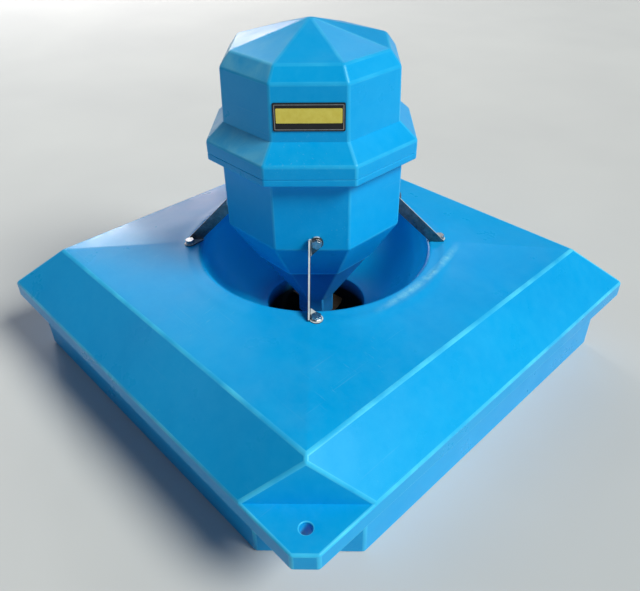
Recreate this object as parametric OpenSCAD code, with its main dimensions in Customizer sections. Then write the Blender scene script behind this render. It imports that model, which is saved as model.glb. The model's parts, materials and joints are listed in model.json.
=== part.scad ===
// Floating pond aerator. A square hollow float has a bowl and a throat through its middle, and an
// upright motor in an eight-sided housing stands over the bowl on four flat-bar arms. A drive shaft
// runs down through the housing's neck to a propeller in the throat, which throws water up and out.
// The origin is on the centre line at the float's underside, and +Z is up. The float's sides lie
// along X and Y. The front, with the nameplate and the first mooring tab, faces +X -Y.

/* [Float] */
// Side of the square float, measured over its lip
float_side = 1000; // [920:10:1100]
// Height of the lower hull, up to the underside of the lip
hull_h = 145.5; // [120:0.5:180]
// How far the lower hull stands in from the lip
hull_inset = 31.5; // [20:0.5:45]
// Height of the lip's edge
lip_h = 39; // [30:1:60]
// Width of the sloping bevel above the lip, seen from above
bevel_run = 93.4; // [75:0.2:110]
// Height of the sloping bevel
bevel_rise = 90.7; // [70:0.1:110]
// How far the deck climbs from the bevel to the bowl
deck_rise = 22.5; // [15:0.5:35]
// Wall of the hollow float
float_wall = 6; // [4:0.5:8]

/* [Bowl and throat] */
// Radius of the bowl at its rim
bowl_r = 249.7; // [240:0.1:265]
// How far the bowl's wall bulges below a straight cone
bowl_sag = 26; // [10:1:40]
// Radius of the rounded rim
rim_round = 10; // [6:0.5:14]
// Radius of the throat
throat_r = 114; // [108:0.5:125]
// Height of the throat's upper edge
throat_top = 130; // [120:1:140]
// Width of the step that the intake guard sits against
guard_step = 16; // [12:0.5:20]
// Depth of the recess that holds the intake guard
guard_recess = 26; // [22:0.5:30]

/* [Mooring tabs] */
// Radius of the mooring hole
moor_r = 10.5; // [8:0.5:13]
// How far the tab's blunt nose is cut back from the square's corner
nose_cut = 21.6; // [15:0.1:30]
// Distance from the nose to the middle of the mooring hole
moor_inset = 45.5; // [38:0.5:50]
// Distance from the nose to the foot of the cut face behind the hole
tab_depth = 88; // [80:0.5:95]
// Lean of that cut face, in degrees
tab_lean = 8.5; // [5:0.5:15]
// How far the lower hull's corner is cut back under the tab
keel_cut = 96.6; // [80:0.2:110]

/* [Motor housing] */
// Half the width over the flats of the housing's wall
wall_half = 173.7; // [168:0.1:180]
// How far the flange and the cap's collar stand out past the housing's wall
collar_out = 25.7; // [23:0.1:36]
// Half the width over the flats at the foot of the upper cone
tier_half = 119; // [110:0.5:128]
// How far the upper cone stands out over the lower one
tier_ledge = 2.5; // [1.5:0.5:5]
// Half the width over the flats of the neck
neck_half = 39.3; // [36:0.1:44]
// Height of the neck's lower end
neck_foot = 115; // [112:0.5:118]
// Length of the straight neck
neck_h = 46; // [40:0.5:52]
// Height of the lower cone
lower_cone_h = 128.5; // [115:0.5:140]
// Height of the upper cone
upper_cone_h = 94.9; // [85:0.1:105]
// Height of the straight wall, from the cone to the flange
wall_h = 147.6; // [135:0.2:165]
// Height of the flange's edge
flange_h = 14; // [11:0.5:18]
// Wall of the moulded housing
housing_wall = 5; // [4:0.5:6]
// Height of the spigot that the cap fits over
spigot_h = 14; // [10:0.5:20]
// Thickness of the ledge that carries the motor plate
ledge_t = 12; // [8:0.5:16]
// Radius of the opening through that ledge
ledge_r = 118; // [112:0.5:122]

/* [Cap] */
// Height of the collar's upright edge
collar_h = 25; // [20:0.5:30]
// Height of the collar's sloping top
collar_slope_h = 32; // [26:0.5:40]
// How far the foot of the cap's wall stands inside the housing's wall
cap_foot_in = 8; // [4:0.1:13]
// How far the cap's wall leans in from foot to top
cap_draft = 2.8; // [0:0.1:9]
// Height of the cap's wall
cap_wall_h = 101; // [95:0.5:120]
// How far the chamfer between wall and roof runs in
eaves_in = 19.8; // [13:0.1:27]
// Height of the chamfer between wall and roof
eaves_h = 27; // [20:0.5:34]
// Height of the pyramid roof
roof_h = 42.4; // [34:0.2:60]
// Half the width of the roof's small flat peak
peak_half = 2.5; // [1.5:0.5:5]
// Wall of the moulded cap
cap_wall = 4; // [3:0.5:5]
// Height of the gasket that lies around the spigot
gasket_h = 4; // [2:0.5:6]

/* [Nameplate] */
// Width of the nameplate
plate_w = 125; // [100:1:130]
// Height of the nameplate
plate_h = 50; // [40:1:60]
// Thickness of the nameplate
plate_t = 1.6; // [1:0.2:3]
// Height of the plate's middle above the foot of the cap's wall
plate_rise = 45; // [35:1:55]

/* [Arms] */
// Width of the flat bar
bar_w = 25.4; // [20:0.2:30]
// Thickness of the flat bar
bar_t = 3.2; // [2.4:0.2:4]
// Inner radius of the bar's bends
bend_r = 2; // [1:0.5:3]
// How far the bar stands to the left of the bolts' middle plane
bar_side = 4.5; // [3:0.5:6]
// Height of the upper bend's middle above the upper cone
top_rise = 7.4; // [5:0.2:12]
// Distance from the bowl's rim to the middle of the foot's bend
foot_setback = 17.3; // [16:0.1:24]

/* [Fasteners] */
// Radius of the arm bolts
bolt_r = 5; // [4:0.5:5]
// Width over the flats of the arm bolts' heads and nuts
bolt_af = 17; // [15:0.5:18]
// Radius of the washers under the arm bolts
washer_r = 10; // [9.5:0.5:11]
// Thickness of those washers
washer_t = 2; // [1.6:0.2:2.5]
// Radius of the motor plate's bolts and of the motor's flange bolts
stud_r = 4; // [3:0.5:5]
// Width over the flats of those bolts' heads and nuts
stud_af = 13; // [11:0.5:14]
// Radius of the small screws
screw_r = 2.5; // [2:0.5:3]

/* [Motor] */
// Thickness of the steel plate that carries the motor
motor_plate_t = 8; // [6:0.5:10]
// Radius of that plate
motor_plate_r = 150; // [145:1:154]
// Radius of the motor's flange
flange_r = 100; // [96:1:104]
// Radius of the circle of flange bolts
flange_bolt_circle = 82.5; // [78:0.5:85]
// Radius of the spigot under the flange
spigot_r = 65; // [60:0.5:70]
// Bore radius of the motor's frame, which holds the stator
frame_bore = 70; // [68:0.5:73]
// Length of the motor's frame
frame_h = 160; // [150:1:175]
// Wall of the motor's frame
frame_wall = 8; // [6:0.5:10]
// How far the cooling ribs stand out
rib_h = 12; // [8:0.5:14]
// Number of cooling ribs
rib_count = 36; // [24:2:40]
// Distance from each end of the motor's frame to the stator's stack of plates
stack_inset = 35; // [30:1:40]
// Bore radius of the stator
stator_bore = 40; // [38:0.5:42]
// Number of slots in the stator
slot_count = 24; // [18:6:30]
// Air gap between rotor and stator
air_gap = 0.5; // [0.3:0.1:1]
// Radius of the motor shaft at its lower end
motor_shaft_r = 12; // [11:0.5:12]
// Radius of the cooling fan
fan_r = 72; // [66:1:76]

/* [Drive and propeller] */
// Radius of the drive shaft
drive_r = 10; // [9:0.5:11]
// Radius of the coupling sleeve
coupling_r = 22; // [20:0.5:26]
// Length of the coupling sleeve
coupling_h = 70; // [64:1:76]
// Radius of the propeller's blade tips
tip_r = 106; // [98:0.5:107]
// Radius of the propeller's hub
hub_r = 21; // [19:0.5:24]
// Length of the propeller's hub
hub_h = 46; // [42:0.5:50]
// Number of blades
blade_count = 3; // [2:1:4]
// How far a blade climbs in a full turn
blade_pitch = 110; // [80:2:120]
// Thickness of a blade at its root
blade_root_t = 6; // [4:0.5:8]
// Thickness of a blade at its tip
blade_tip_t = 3; // [2:0.5:4]

/* [Hidden] */
$fn = 72;

// Overrun of every cut past the face that it opens, and of a piece into the one it is joined to
over = 1;
// Clearance between a piece and the seat that holds it still
seat_gap = 0.05;
// Running clearance of a shaft in its bush
run_gap = 0.05;
// Clearance of a thread's crest, and of a screw in its plain hole
thread_gap = 0.1;
hole_gap = 0.5;
// Clearance between curved faces that pass close to each other
pass_gap = 0.3;

// Directions of the four arms, and of the four diagonals of the float
front_turn = -45;
right_turn = 45;
back_turn = 135;
left_turn = 225;
arm_turns = [front_turn, right_turn, back_turn, left_turn];
tab_turns = [front_turn, back_turn];
sides = 8;
half_side_turn = 180 / sides;

// Heights of the float
half = float_side / 2;
hull_half = half - hull_inset;
lip_top = hull_h + lip_h;
deck_half = half - bevel_run;
deck_low = lip_top + bevel_rise;
deck_top = deck_low + deck_rise;
bevel_angle = atan2(bevel_rise, bevel_run);
deck_angle = atan2(deck_rise, deck_half - bowl_r);
// Slope of the deck along a diagonal, where the arms stand
foot_slope = atan2(deck_rise, deck_half * sqrt(2) - bowl_r);
// Inner edge of the deck's wall, found on the line that halves the angle of deck and bevel
wall_lean = (bevel_angle + deck_angle) / 2;
wall_spread = cos((bevel_angle - deck_angle) / 2);
inner_deck_half = deck_half - float_wall * sin(wall_lean) / wall_spread;
inner_deck_low = deck_low - float_wall * cos(wall_lean) / wall_spread;
inner_deck_top = deck_top - float_wall / cos(deck_angle);
inner_lip_half = half - float_wall;
inner_bevel_foot = lip_top - (float_wall / cos(bevel_angle) - float_wall * tan(bevel_angle));
plate_thin = 0.5;

// Arc of the bowl's wall, from the rim down to the throat
bowl_run = bowl_r - throat_r;
bowl_drop = deck_top - throat_top;
bowl_chord = norm([bowl_run, bowl_drop]);
arc_r = bowl_chord * bowl_chord / (8 * bowl_sag) + bowl_sag / 2;
arc_r_mid = (bowl_r + throat_r) / 2 - bowl_drop / bowl_chord * (arc_r - bowl_sag);
arc_z_mid = (deck_top + throat_top) / 2 + bowl_run / bowl_chord * (arc_r - bowl_sag);
arc_from = atan2(throat_top - arc_z_mid, throat_r - arc_r_mid);
arc_rise = deck_top - rim_round - arc_z_mid;
arc_to = atan2(arc_rise, sqrt(pow(arc_r, 2) - pow(arc_rise, 2)));
arc_steps = 10;
guard_recess_r = throat_r + guard_step;
guard_boss = 12;

// Mooring tabs, along a diagonal
corner_reach = half * sqrt(2);
nose_reach = corner_reach - nose_cut;
moor_reach = nose_reach - moor_inset;
tab_foot_reach = nose_reach - tab_depth;
keel_reach = hull_half * sqrt(2) - keel_cut;
moor_wall = 6;

// Vent plug in the float's underside, behind the throat
vent_r = 9;
vent_head_r = 14;
vent_head_t = 4;
vent_sink = 5;
vent_shank = 14;
vent_boss_r = 24;
vent_reach = 330;

// Threaded inserts for the arms' feet
insert_r = 8;
insert_h = 18;
insert_wall = 6;

// Half widths over the flats of the flange and the cap
collar_half = wall_half + collar_out;
cap_foot_half = wall_half - cap_foot_in;
cap_head_half = cap_foot_half - cap_draft;
roof_half = cap_head_half - eaves_in;

// Heights of the housing, from the neck up
neck_top = neck_foot + neck_h;
tier_z = neck_top + lower_cone_h;
cone_top = tier_z + upper_cone_h;
flange_z = cone_top + wall_h;
joint_z = flange_z + flange_h;
lower_cone_half = tier_half - tier_ledge;
lower_cone_angle = atan2(lower_cone_h, lower_cone_half - neck_half);
upper_cone_angle = atan2(upper_cone_h, wall_half - tier_half);
lower_cone_wall = housing_wall / sin(lower_cone_angle);
upper_cone_wall = housing_wall / sin(upper_cone_angle);
neck_floor = neck_top + housing_wall;
ledge_top = cone_top + housing_wall;
ledge_foot = ledge_top - ledge_t;
inner_wall_half = wall_half - housing_wall;
flange_floor = 9;
skirt_gap = 5;
spigot_half = collar_half - cap_wall - skirt_gap;
spigot_t = 4;

// Heights of the cap, from the gasket up
cap_foot = joint_z + seat_gap;
collar_top = cap_foot + collar_h;
cap_wall_foot = collar_top + collar_slope_h;
cap_wall_head = cap_wall_foot + cap_wall_h;
roof_foot = cap_wall_head + eaves_h;
peak_z = roof_foot + roof_h;
cap_lean = atan2(cap_draft, cap_wall_h);
roof_slope = atan2(roof_h, roof_half - peak_half);

// Nameplate: raised rim and raised panel on a flat plate
plate_rim = 1.6;
plate_rim_inset = 2.4;
plate_rim_rise = 0.5;
panel_w = 114;
panel_h = 26;
panel_lift = 2.5;
plate_corner = 3;

// Arms, in a frame with X outward, Y to the right as seen from outside and Z up
bend_out = bar_t + bend_r;
bend_stub = 1;
bend_steps = 6;
bar_inset = 0.4;
ear_share = 0.98;
bend_y = bend_out - bar_side - bar_t / 2;
bolt_y = bend_y + washer_r + hole_gap;
top_bend_x = wall_half + bend_out;
top_bend_z = cone_top + top_rise;
foot_bend_x = bowl_r + foot_setback;
bar_fall = atan2(top_bend_z - deck_height(foot_bend_x) - bend_out, foot_bend_x - top_bend_x);
cut_step = 0.1;
top_half_cut = cut_step * round(bar_w / 2 / cos(bar_fall) / cut_step);
foot_half_cut = cut_step * round(bar_w / 2 / sin(bar_fall) / cut_step);
bolt_step = bolt_y - bend_y;
top_bolt_z = top_bend_z + bolt_step * tan(bar_fall);
foot_bolt_x = foot_bend_x + bolt_step / tan(bar_fall);
bolt_hole_r = bolt_r + hole_gap;
bolt_head_h = 6.4;
nut_h = 8;
foot_bolt_l = 22;
bolt_end = 3;
wall_bolt_l = bar_t + washer_t + housing_wall + nut_h + bolt_end;

// Width of a screw's drive recess as a share of its radius
screw_drive_share = 1.6;

// Cable gland, on the back face of the housing's wall
gland_r = 12;
gland_bore = 6.5;
gland_hex_af = 30;
gland_hex_h = 8;
gland_dome_r = 13;
gland_dome_h = 16;
gland_tail = 16;
gland_nut_h = 5;
gland_rise_share = 0.48;
gland_z = cone_top + wall_h * gland_rise_share;

// Neck bush and seal
bush_r = 17;
bush_h = 36;
bush_lip_r = 22;
bush_lip_t = 4;
neck_seal_t = 10;
bush_top = neck_foot + bush_h;

// Motor plate and motor, from the ledge up
plate_top = ledge_top + motor_plate_t;
plate_bolt_edge = 10.5;
plate_bolt_circle = ledge_r + stud_af / 2 + plate_bolt_edge;
plate_bolt_count = 8;
stud_head_h = 5.3;
stud_nut_h = 6.5;
stud_end = 1;
flange_t = 12;
flange_spigot_h = 3.5;
shield_h = 24;
shield_wall = 6;
bell_gap = 1;
frame_foot = plate_top + flange_t + shield_h;
frame_top = frame_foot + frame_h;
frame_r = frame_bore + frame_wall;
rib_t = 2.6;
stack_foot = frame_foot + stack_inset;
stack_h = frame_h - 2 * stack_inset;
slot_depth = 20;
slot_w = 5;
slot_tooth = 3;
coil_gap = 0.4;
end_turn_h = 24;
end_turn_wall = 20;
upper_shield_h = 20;
cover_wall = 1.6;
cover_gap = 4;
shield_proud = 3.5;
shield_r = frame_r + shield_proud;
tie_sink = 1;
tie_circle = frame_r - tie_sink;
tie_af = 8;
tie_head_h = 3.5;
tie_boss_r = 6;
tie_count = 4;
tie_turn = 22.5;

// Bearings, lower and upper: bore radius, outer radius, width, ball radius, number of balls
shaft_step = 0.5;
lower_bore = motor_shaft_r + shaft_step;
seat_run = 1;
bearing_h = 15;
ball_r = 4;
ball_room = 0.3;
ring_wall = 3.2;
ring_share = 0.55;
ball_circle = lower_bore + ring_wall + ball_r;
bearing_r = ball_circle + ball_r + ring_wall;
ball_count = 9;
upper_bore = 10;
upper_ball_circle = upper_bore + ring_wall + ball_r;
upper_bearing_r = upper_ball_circle + ball_r + ring_wall;
upper_ball_count = 8;
cage_t = 1.6;
cage_gap = 0.25;
cage_hole = ball_r + cage_gap;
cage_h = 9.6;
lower_bearing_z = plate_top + flange_t;
upper_seat_t = 3;
upper_bearing_z = frame_top + upper_seat_t;
shoulder_gap = 1;
lower_shoulder_r = ball_circle - ball_r * ring_share + shoulder_gap;
upper_shoulder_r = upper_ball_circle - ball_r * ring_share + shoulder_gap;

// Shaft seal under the lower bearing
seal_h = 8;
seal_z = plate_top - flange_spigot_h;
seal_wall = 9;

// Rotor, shaft, fan and its cover
rotor_r = stator_bore - air_gap;
core_shaft_r = 15;
end_ring_h = 8;
end_ring_wall = 14;
end_ring_step = 1;
shaft_end_l = 50;
shaft_foot = plate_top - shaft_end_l;
fan_shaft_r = 9;
fan_hub_r = 16;
fan_gap = 8;
fan_z = frame_top + upper_shield_h + fan_gap;
fan_h = 24;
fan_disc_t = 3;
fan_blade_t = 2.5;
fan_blades = 8;
clip_t = 1.5;
clip_r = 12;
clip_gap = 0.5;
clip_depth = 1;
shaft_tip = 5;
shaft_top = fan_z + fan_h + clip_t + shaft_tip;
cover_r = shield_r + cover_gap;
cover_rise = 4;
cover_foot = frame_top + cover_rise;
cover_room = 8;
cover_top = shaft_top + cover_room;
cover_screw_rise = 12;
cover_screw_z = frame_top + cover_screw_rise;
cover_screw_bite = 7;
cover_screw_end = 1;
vent_rings = 3;
vent_hole_r = 3.5;
vent_first_r = 22;
vent_ring_step = 16;

// Terminal box on the back of the motor's frame
box_w = 92;
box_d = 38;
box_wall = 3;
box_rise = 40;
box_z = frame_foot + box_rise;
pad_w = 60;
pad_proud = 2;
box_x = frame_r + rib_h + pad_proud;
lid_t = 4;
lid_post = 9;
box_entry_r = 10;

// Coupling, keys and drive shaft, from the motor shaft's end down
coupling_drop = 16;
coupling_top = plate_top - coupling_drop;
coupling_foot = coupling_top - coupling_h;
shaft_split = 2;
drive_top = shaft_foot - shaft_split;
key_w = 6;
key_h = 6;
key_gap = 0.06;
key_room = 1;
set_screw_r = 3;
set_screw_l = 8;
set_screw_sink = 1;
hub_gap = 5;
hub_top = neck_foot - bush_lip_t - hub_gap;
hub_foot = hub_top - hub_h;
hub_step = 1;
hub_bore = drive_r - hub_step;
stem_r = 8;
prop_washer_t = 3;
prop_washer_r = 15;
prop_nut_h = 11;
prop_nut_af = 24;
drive_tip = 3;
drive_foot = hub_foot - prop_washer_t - prop_nut_h - drive_tip;
slinger_r = 15;
slinger_h = 3;
slinger_gap = 1;
slinger_z = hub_top + slinger_gap;

// Propeller blades: shares of the blade's own sizes
blade_half_angle = 44;
blade_taper_share = 0.18;
blade_edge_share = 0.3;
blade_skew = 14;
blade_ring_steps = 6;
blade_chord_steps = 8;
blade_root_share = 0.8;
blade_z = hub_foot + hub_h / 2;

// Intake guard
guard_t = 10;
guard_gap = 0.4;
guard_ring_w = 13;
guard_bar_w = 4;
guard_bar_t = 5;
guard_rings = 4;
guard_spokes = 8;
guard_hub_r = 18;
guard_screw_count = 4;
guard_screw_l = 18;
guard_screw_turn = 45;
guard_top = guard_recess;
guard_r = guard_recess_r - guard_gap;
guard_screw_out = 1;
guard_screw_r = (throat_r + guard_recess_r) / 2 + guard_screw_out;

// Height of the deck's surface along a diagonal, at a given distance from the centre line
function deck_height(reach) = deck_top - (reach - bowl_r) * tan(foot_slope);

// One ring of an upright eight-sided form
function octagon(across, z) = [
    for (i = [0:sides - 1])
        let (turn = half_side_turn + i * 360 / sides, reach = across / cos(half_side_turn))
            [reach * cos(turn), reach * sin(turn), z]
];

module octagon_outline(across) {
    polygon([for (p = octagon(across, 0)) [p[0], p[1]]]);
}

// Closed solid through a list of rings with equally many points
module loft(rings) {
    n = len(rings[0]);
    last = (len(rings) - 1) * n;
    corners = [for (ring = rings) each ring];
    walls = [
        for (j = [0:len(rings) - 2], i = [0:n - 1])
            let (a = j * n + i, b = j * n + (i + 1) % n)
                each [[a, a + n, b + n], [a, b + n, b]]
    ];
    foot = [for (i = [0:n / 2 - 2]) each [[i, i + 1, n - 2 - i], [i, n - 2 - i, n - 1 - i]]];
    head = [for (f = foot) [last + f[0], last + f[2], last + f[1]]];
    polyhedron(points = corners, faces = concat(walls, foot, head));
}

// Upright eight-sided form from pairs of half width and height
module octagon_form(pairs) {
    loft([for (p = pairs) octagon(p[0], p[1])]);
}

// Ring between two radii, from a height upward
module tube(outer, inner, h) {
    difference() {
        cylinder(r = outer, h = h);
        translate([0, 0, -over])
            cylinder(r = inner, h = h + 2 * over);
    }
}

// Six-sided prism by its width over the flats
module hexagon(af, h) {
    cylinder(r = af / 2 / cos(30), h = h, $fn = 6);
}

// Bolt with its head above the origin and its shank below
module hex_bolt(r, af, head, shank) {
    hexagon(af, head);
    translate([0, 0, -shank])
        cylinder(r = r, h = shank + head / 2);
}

module hex_nut(bore, af, h) {
    difference() {
        hexagon(af, h);
        translate([0, 0, -over])
            cylinder(r = bore, h = h + 2 * over);
    }
}

// Screw with a round head and a drive recess
module pan_screw(r, shank) {
    difference() {
        cylinder(r = 2 * r, h = r);
        translate([0, 0, r / 2])
            hexagon(screw_drive_share * r, r);
    }
    translate([0, 0, -shank])
        cylinder(r = r, h = shank + r / 4);
}

// Places children at every arm's bolt on the housing, with Z pointing out of the wall
module at_wall_bolts() {
    for (turn = arm_turns)
        rotate([0, 0, turn])
            translate([wall_half, bolt_y, top_bolt_z])
                rotate([0, 90, 0])
                    children();
}

// Places children on the deck at one arm's foot, with X outward along the slope of the deck
module on_deck(reach) {
    translate([reach, 0, deck_height(reach)])
        rotate([0, foot_slope, 0])
            children();
}

module at_foot_bolts() {
    for (turn = arm_turns)
        rotate([0, 0, turn])
            on_deck(foot_bolt_x)
                translate([0, bolt_y, seat_gap])
                    children();
}

// Square with its two mooring corners cut off, seen from above
module tabbed_square(h_half, reach) {
    intersection() {
        square(2 * h_half, center = true);
        rotate(front_turn)
            square([2 * reach, 4 * h_half], center = true);
    }
}

// Lower hull, lip, bevel and deck, without the bowl. The wall is taken off for the inner form.
module float_form(wall) {
    inner = wall > 0;
    deck_h_half = inner ? inner_deck_half : deck_half;
    deck_z = inner ? inner_deck_low : deck_low;
    rim_z = inner ? inner_deck_top : deck_top;
    bevel_half = inner ? inner_lip_half : half;
    bevel_z = inner ? inner_bevel_foot : lip_top;
    translate([0, 0, wall])
        linear_extrude(hull_h + lip_h / 2 - wall)
            tabbed_square(hull_half - wall, keel_reach - wall);
    translate([0, 0, hull_h + wall])
        linear_extrude(bevel_z - hull_h - wall)
            tabbed_square(bevel_half, nose_reach - wall);
    difference() {
        hull() {
            translate([0, 0, bevel_z - plate_thin])
                linear_extrude(plate_thin)
                    square(2 * bevel_half, center = true);
            translate([0, 0, deck_z - plate_thin])
                linear_extrude(plate_thin)
                    square(2 * deck_h_half, center = true);
            translate([0, 0, rim_z - plate_thin])
                cylinder(r = bowl_r, h = plate_thin, $fn = 64);
        }
        for (turn = tab_turns)
            rotate([0, 0, turn])
                translate([tab_foot_reach - wall, -half, lip_top])
                    rotate([0, -tab_lean, 0])
                        translate([0, 0, -lip_h])
                            cube([float_side, float_side, float_side]);
    }
}

// Points of the bowl's arc, offset outward by the wall
function bowl_arc(wall, from, to) = [
    for (i = [0:arc_steps])
        let (turn = from + (to - from) * i / arc_steps)
            [arc_r_mid + (arc_r + wall) * cos(turn), arc_z_mid + (arc_r + wall) * sin(turn)]
];

// Space of the bowl, the throat and the guard's recess
module bowl_space() {
    rim_start = arc_r_mid + arc_r * cos(arc_to);
    rotate_extrude()
        polygon(concat(
            [[0, -over], [guard_recess_r, -over], [guard_recess_r, guard_recess], [throat_r, guard_recess]],
            bowl_arc(0, arc_from, arc_to),
            [
                for (turn = [165:-15:90])
                    [rim_start + rim_round * (1 + cos(turn)), deck_top - rim_round + rim_round * sin(turn)]
            ],
            [[rim_start + rim_round, deck_top + 2 * over], [0, deck_top + 2 * over]]
        ));
}

// Bowl, throat and recess together with the wall around them
module bowl_body() {
    boss_r = guard_recess_r + float_wall;
    boss_top = guard_recess + guard_boss;
    rotate_extrude()
        polygon(concat(
            [[0, -over], [boss_r, -over], [boss_r, boss_top]],
            [[throat_r + float_wall, boss_top + guard_step]],
            bowl_arc(float_wall, arc_from, arc_to),
            [[bowl_r + float_wall + rim_round, deck_top + over], [0, deck_top + over]]
        ));
}

module float_cavity() {
    difference() {
        float_form(float_wall);
        bowl_body();
        for (turn = tab_turns)
            rotate([0, 0, turn])
                translate([moor_reach, 0, 0])
                    cylinder(r = moor_r + moor_wall, h = deck_top);
        rotate([0, 0, back_turn])
            translate([vent_reach, 0, 0])
                cylinder(r = vent_boss_r, h = vent_sink + float_wall);
        at_foot_bolts()
            translate([0, 0, -insert_h - insert_wall])
                cylinder(r = insert_r + insert_wall, h = insert_h + insert_wall);
    }
}

module float_shell() {
    color([0.05, 0.62, 0.85])
        difference() {
            float_form(0);
            float_cavity();
            bowl_space();
            for (turn = tab_turns)
                rotate([0, 0, turn])
                    translate([moor_reach, 0, -over])
                        cylinder(r = moor_r, h = deck_top);
            rotate([0, 0, back_turn])
                translate([vent_reach, 0, -over]) {
                    cylinder(r = vent_r + seat_gap, h = deck_low / 2);
                    cylinder(r = vent_head_r + hole_gap, h = vent_sink + over);
                }
            at_foot_bolts()
                translate([0, 0, -insert_h - 2 * seat_gap])
                    cylinder(r = insert_r + seat_gap, h = insert_h + over);
            guard_screw_places(guard_top)
                translate([0, 0, -over])
                    cylinder(r = screw_r + thread_gap, h = guard_boss - float_wall / 2 + over);
        }
}

module vent_plug() {
    color([0.12, 0.12, 0.13])
        rotate([0, 0, back_turn])
            translate([vent_reach, 0, vent_sink - vent_head_t]) {
                difference() {
                    cylinder(r = vent_head_r, h = vent_head_t);
                    translate([0, 0, -over])
                        cylinder(r = vent_r / 2, h = over + vent_head_t / 2, $fn = 6);
                }
                cylinder(r = vent_r, h = vent_head_t + vent_shank);
            }
}

module foot_inserts() {
    color([0.78, 0.62, 0.3])
        at_foot_bolts()
            translate([0, 0, -insert_h - seat_gap])
                difference() {
                    cylinder(r = insert_r, h = insert_h);
                    translate([0, 0, -over])
                        cylinder(r = bolt_r + thread_gap, h = insert_h + 2 * over);
                }
}

module guard_screw_places(z) {
    for (i = [0:guard_screw_count - 1])
        rotate([0, 0, guard_screw_turn + i * 360 / guard_screw_count])
            translate([guard_screw_r, 0, z])
                children();
}

module intake_guard() {
    ring_step = (guard_r - guard_ring_w - guard_hub_r) / guard_rings;
    color([0.1, 0.1, 0.11])
        difference() {
            translate([0, 0, guard_top - guard_t])
                union() {
                    tube(guard_r, guard_r - guard_ring_w, guard_t);
                    cylinder(r = guard_hub_r, h = guard_bar_t);
                    for (i = [1:guard_rings - 1])
                        let (inner = guard_hub_r + i * ring_step)
                            tube(inner + guard_bar_w, inner, guard_bar_t);
                    for (i = [0:guard_spokes - 1])
                        rotate([0, 0, i * 360 / guard_spokes])
                            translate([0, -guard_bar_w / 2, 0])
                                cube([guard_r - guard_ring_w / 2, guard_bar_w, guard_bar_t]);
                }
            guard_screw_places(0)
                cylinder(r = screw_r + hole_gap, h = guard_top + over);
        }
}

module guard_screws() {
    color([0.7, 0.71, 0.73])
        guard_screw_places(guard_top - guard_t)
            mirror([0, 0, 1])
                pan_screw(screw_r, guard_screw_l);
}

// Ear at one end of an arm: it leaves the bend at an angle, and its round end holds the bolt
module ear_outline(half_cut, step, angle) {
    bolt_at = [step, step * tan(angle)];
    across = ear_share * bar_w / 2 * [-sin(angle), cos(angle)];
    difference() {
        union() {
            polygon([[0, -half_cut], bolt_at - across, bolt_at + across, [0, half_cut]]);
            translate(bolt_at)
                circle(r = bar_w / 2);
        }
        translate(bolt_at)
            circle(r = bolt_hole_r);
        translate([-bar_w, -bar_w])
            square([bar_w, 4 * bar_w]);
    }
}

// Quarter bend along X, from the ear's plane into the bar's plane, with a short straight end
module bend(length) {
    turns = [for (i = [0:bend_steps]) -90 - 90 * i / bend_steps];
    outer = [for (turn = turns) bend_out * [cos(turn), sin(turn)]];
    inner = [for (i = [bend_steps:-1:0]) bend_r * [cos(turns[i]), sin(turns[i])]];
    translate([-length / 2, 0, 0])
        rotate([90, 0, 90])
            linear_extrude(length)
                polygon(concat(outer, [[-bend_out, bend_stub], [-bend_r, bend_stub]], inner));
}

module arm(turn) {
    lift = seat_gap + bend_out + bend_stub / 2;
    fold_x = foot_bend_x + lift * sin(foot_slope);
    fold_z = deck_height(foot_bend_x) + lift * cos(foot_slope);
    along = (foot_half_cut - bar_inset) * cos(foot_slope);
    drop = (foot_half_cut - bar_inset) * sin(foot_slope);
    rise = top_half_cut - bar_inset;
    color([0.7, 0.72, 0.75])
        rotate([0, 0, turn]) {
            // bar, standing in an upright plane
            translate([0, bar_t / 2 - bar_side, 0])
                rotate([90, 0, 0])
                    linear_extrude(bar_t)
                        polygon([
                            [top_bend_x + seat_gap + bend_stub / 2, top_bend_z - rise],
                            [fold_x - along, fold_z + drop],
                            [fold_x + along, fold_z - drop],
                            [top_bend_x + seat_gap + bend_stub / 2, top_bend_z + rise]
                        ]);
            // upper bend and ear, flat on the housing
            translate([wall_half + seat_gap, bend_y, top_bend_z])
                rotate([90, 0, 90])
                    linear_extrude(bar_t)
                        ear_outline(top_half_cut, bolt_step, bar_fall);
            translate([top_bend_x + seat_gap, bend_y, top_bend_z])
                rotate([0, -90, 0])
                    mirror([0, 0, 1])
                        bend(2 * top_half_cut);
            // lower bend and ear, flat on the deck
            on_deck(foot_bend_x)
                translate([0, bend_y, seat_gap])
                    mirror([1, -1, 0])
                        linear_extrude(bar_t)
                            ear_outline(foot_half_cut, bolt_step, 90 - bar_fall);
            on_deck(foot_bend_x)
                translate([0, bend_y, seat_gap + bend_out])
                    bend(2 * foot_half_cut);
        }
}

module foot_bolts() {
    color([0.75, 0.77, 0.8])
        at_foot_bolts()
            translate([0, 0, bar_t + washer_t])
                hex_bolt(bolt_r, bolt_af, bolt_head_h, foot_bolt_l);
}

module foot_washers() {
    color([0.75, 0.77, 0.8])
        at_foot_bolts()
            translate([0, 0, bar_t])
                tube(washer_r, bolt_hole_r, washer_t);
}

module wall_bolts() {
    color([0.75, 0.77, 0.8])
        at_wall_bolts()
            translate([0, 0, seat_gap + bar_t + washer_t])
                hex_bolt(bolt_r, bolt_af, bolt_head_h, wall_bolt_l);
}

module wall_washers() {
    color([0.75, 0.77, 0.8])
        at_wall_bolts()
            translate([0, 0, seat_gap + bar_t])
                tube(washer_r, bolt_hole_r, washer_t);
}

module wall_nuts() {
    color([0.75, 0.77, 0.8])
        at_wall_bolts()
            translate([0, 0, -housing_wall - nut_h])
                hex_nut(bolt_r + thread_gap, bolt_af, nut_h);
}

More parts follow.
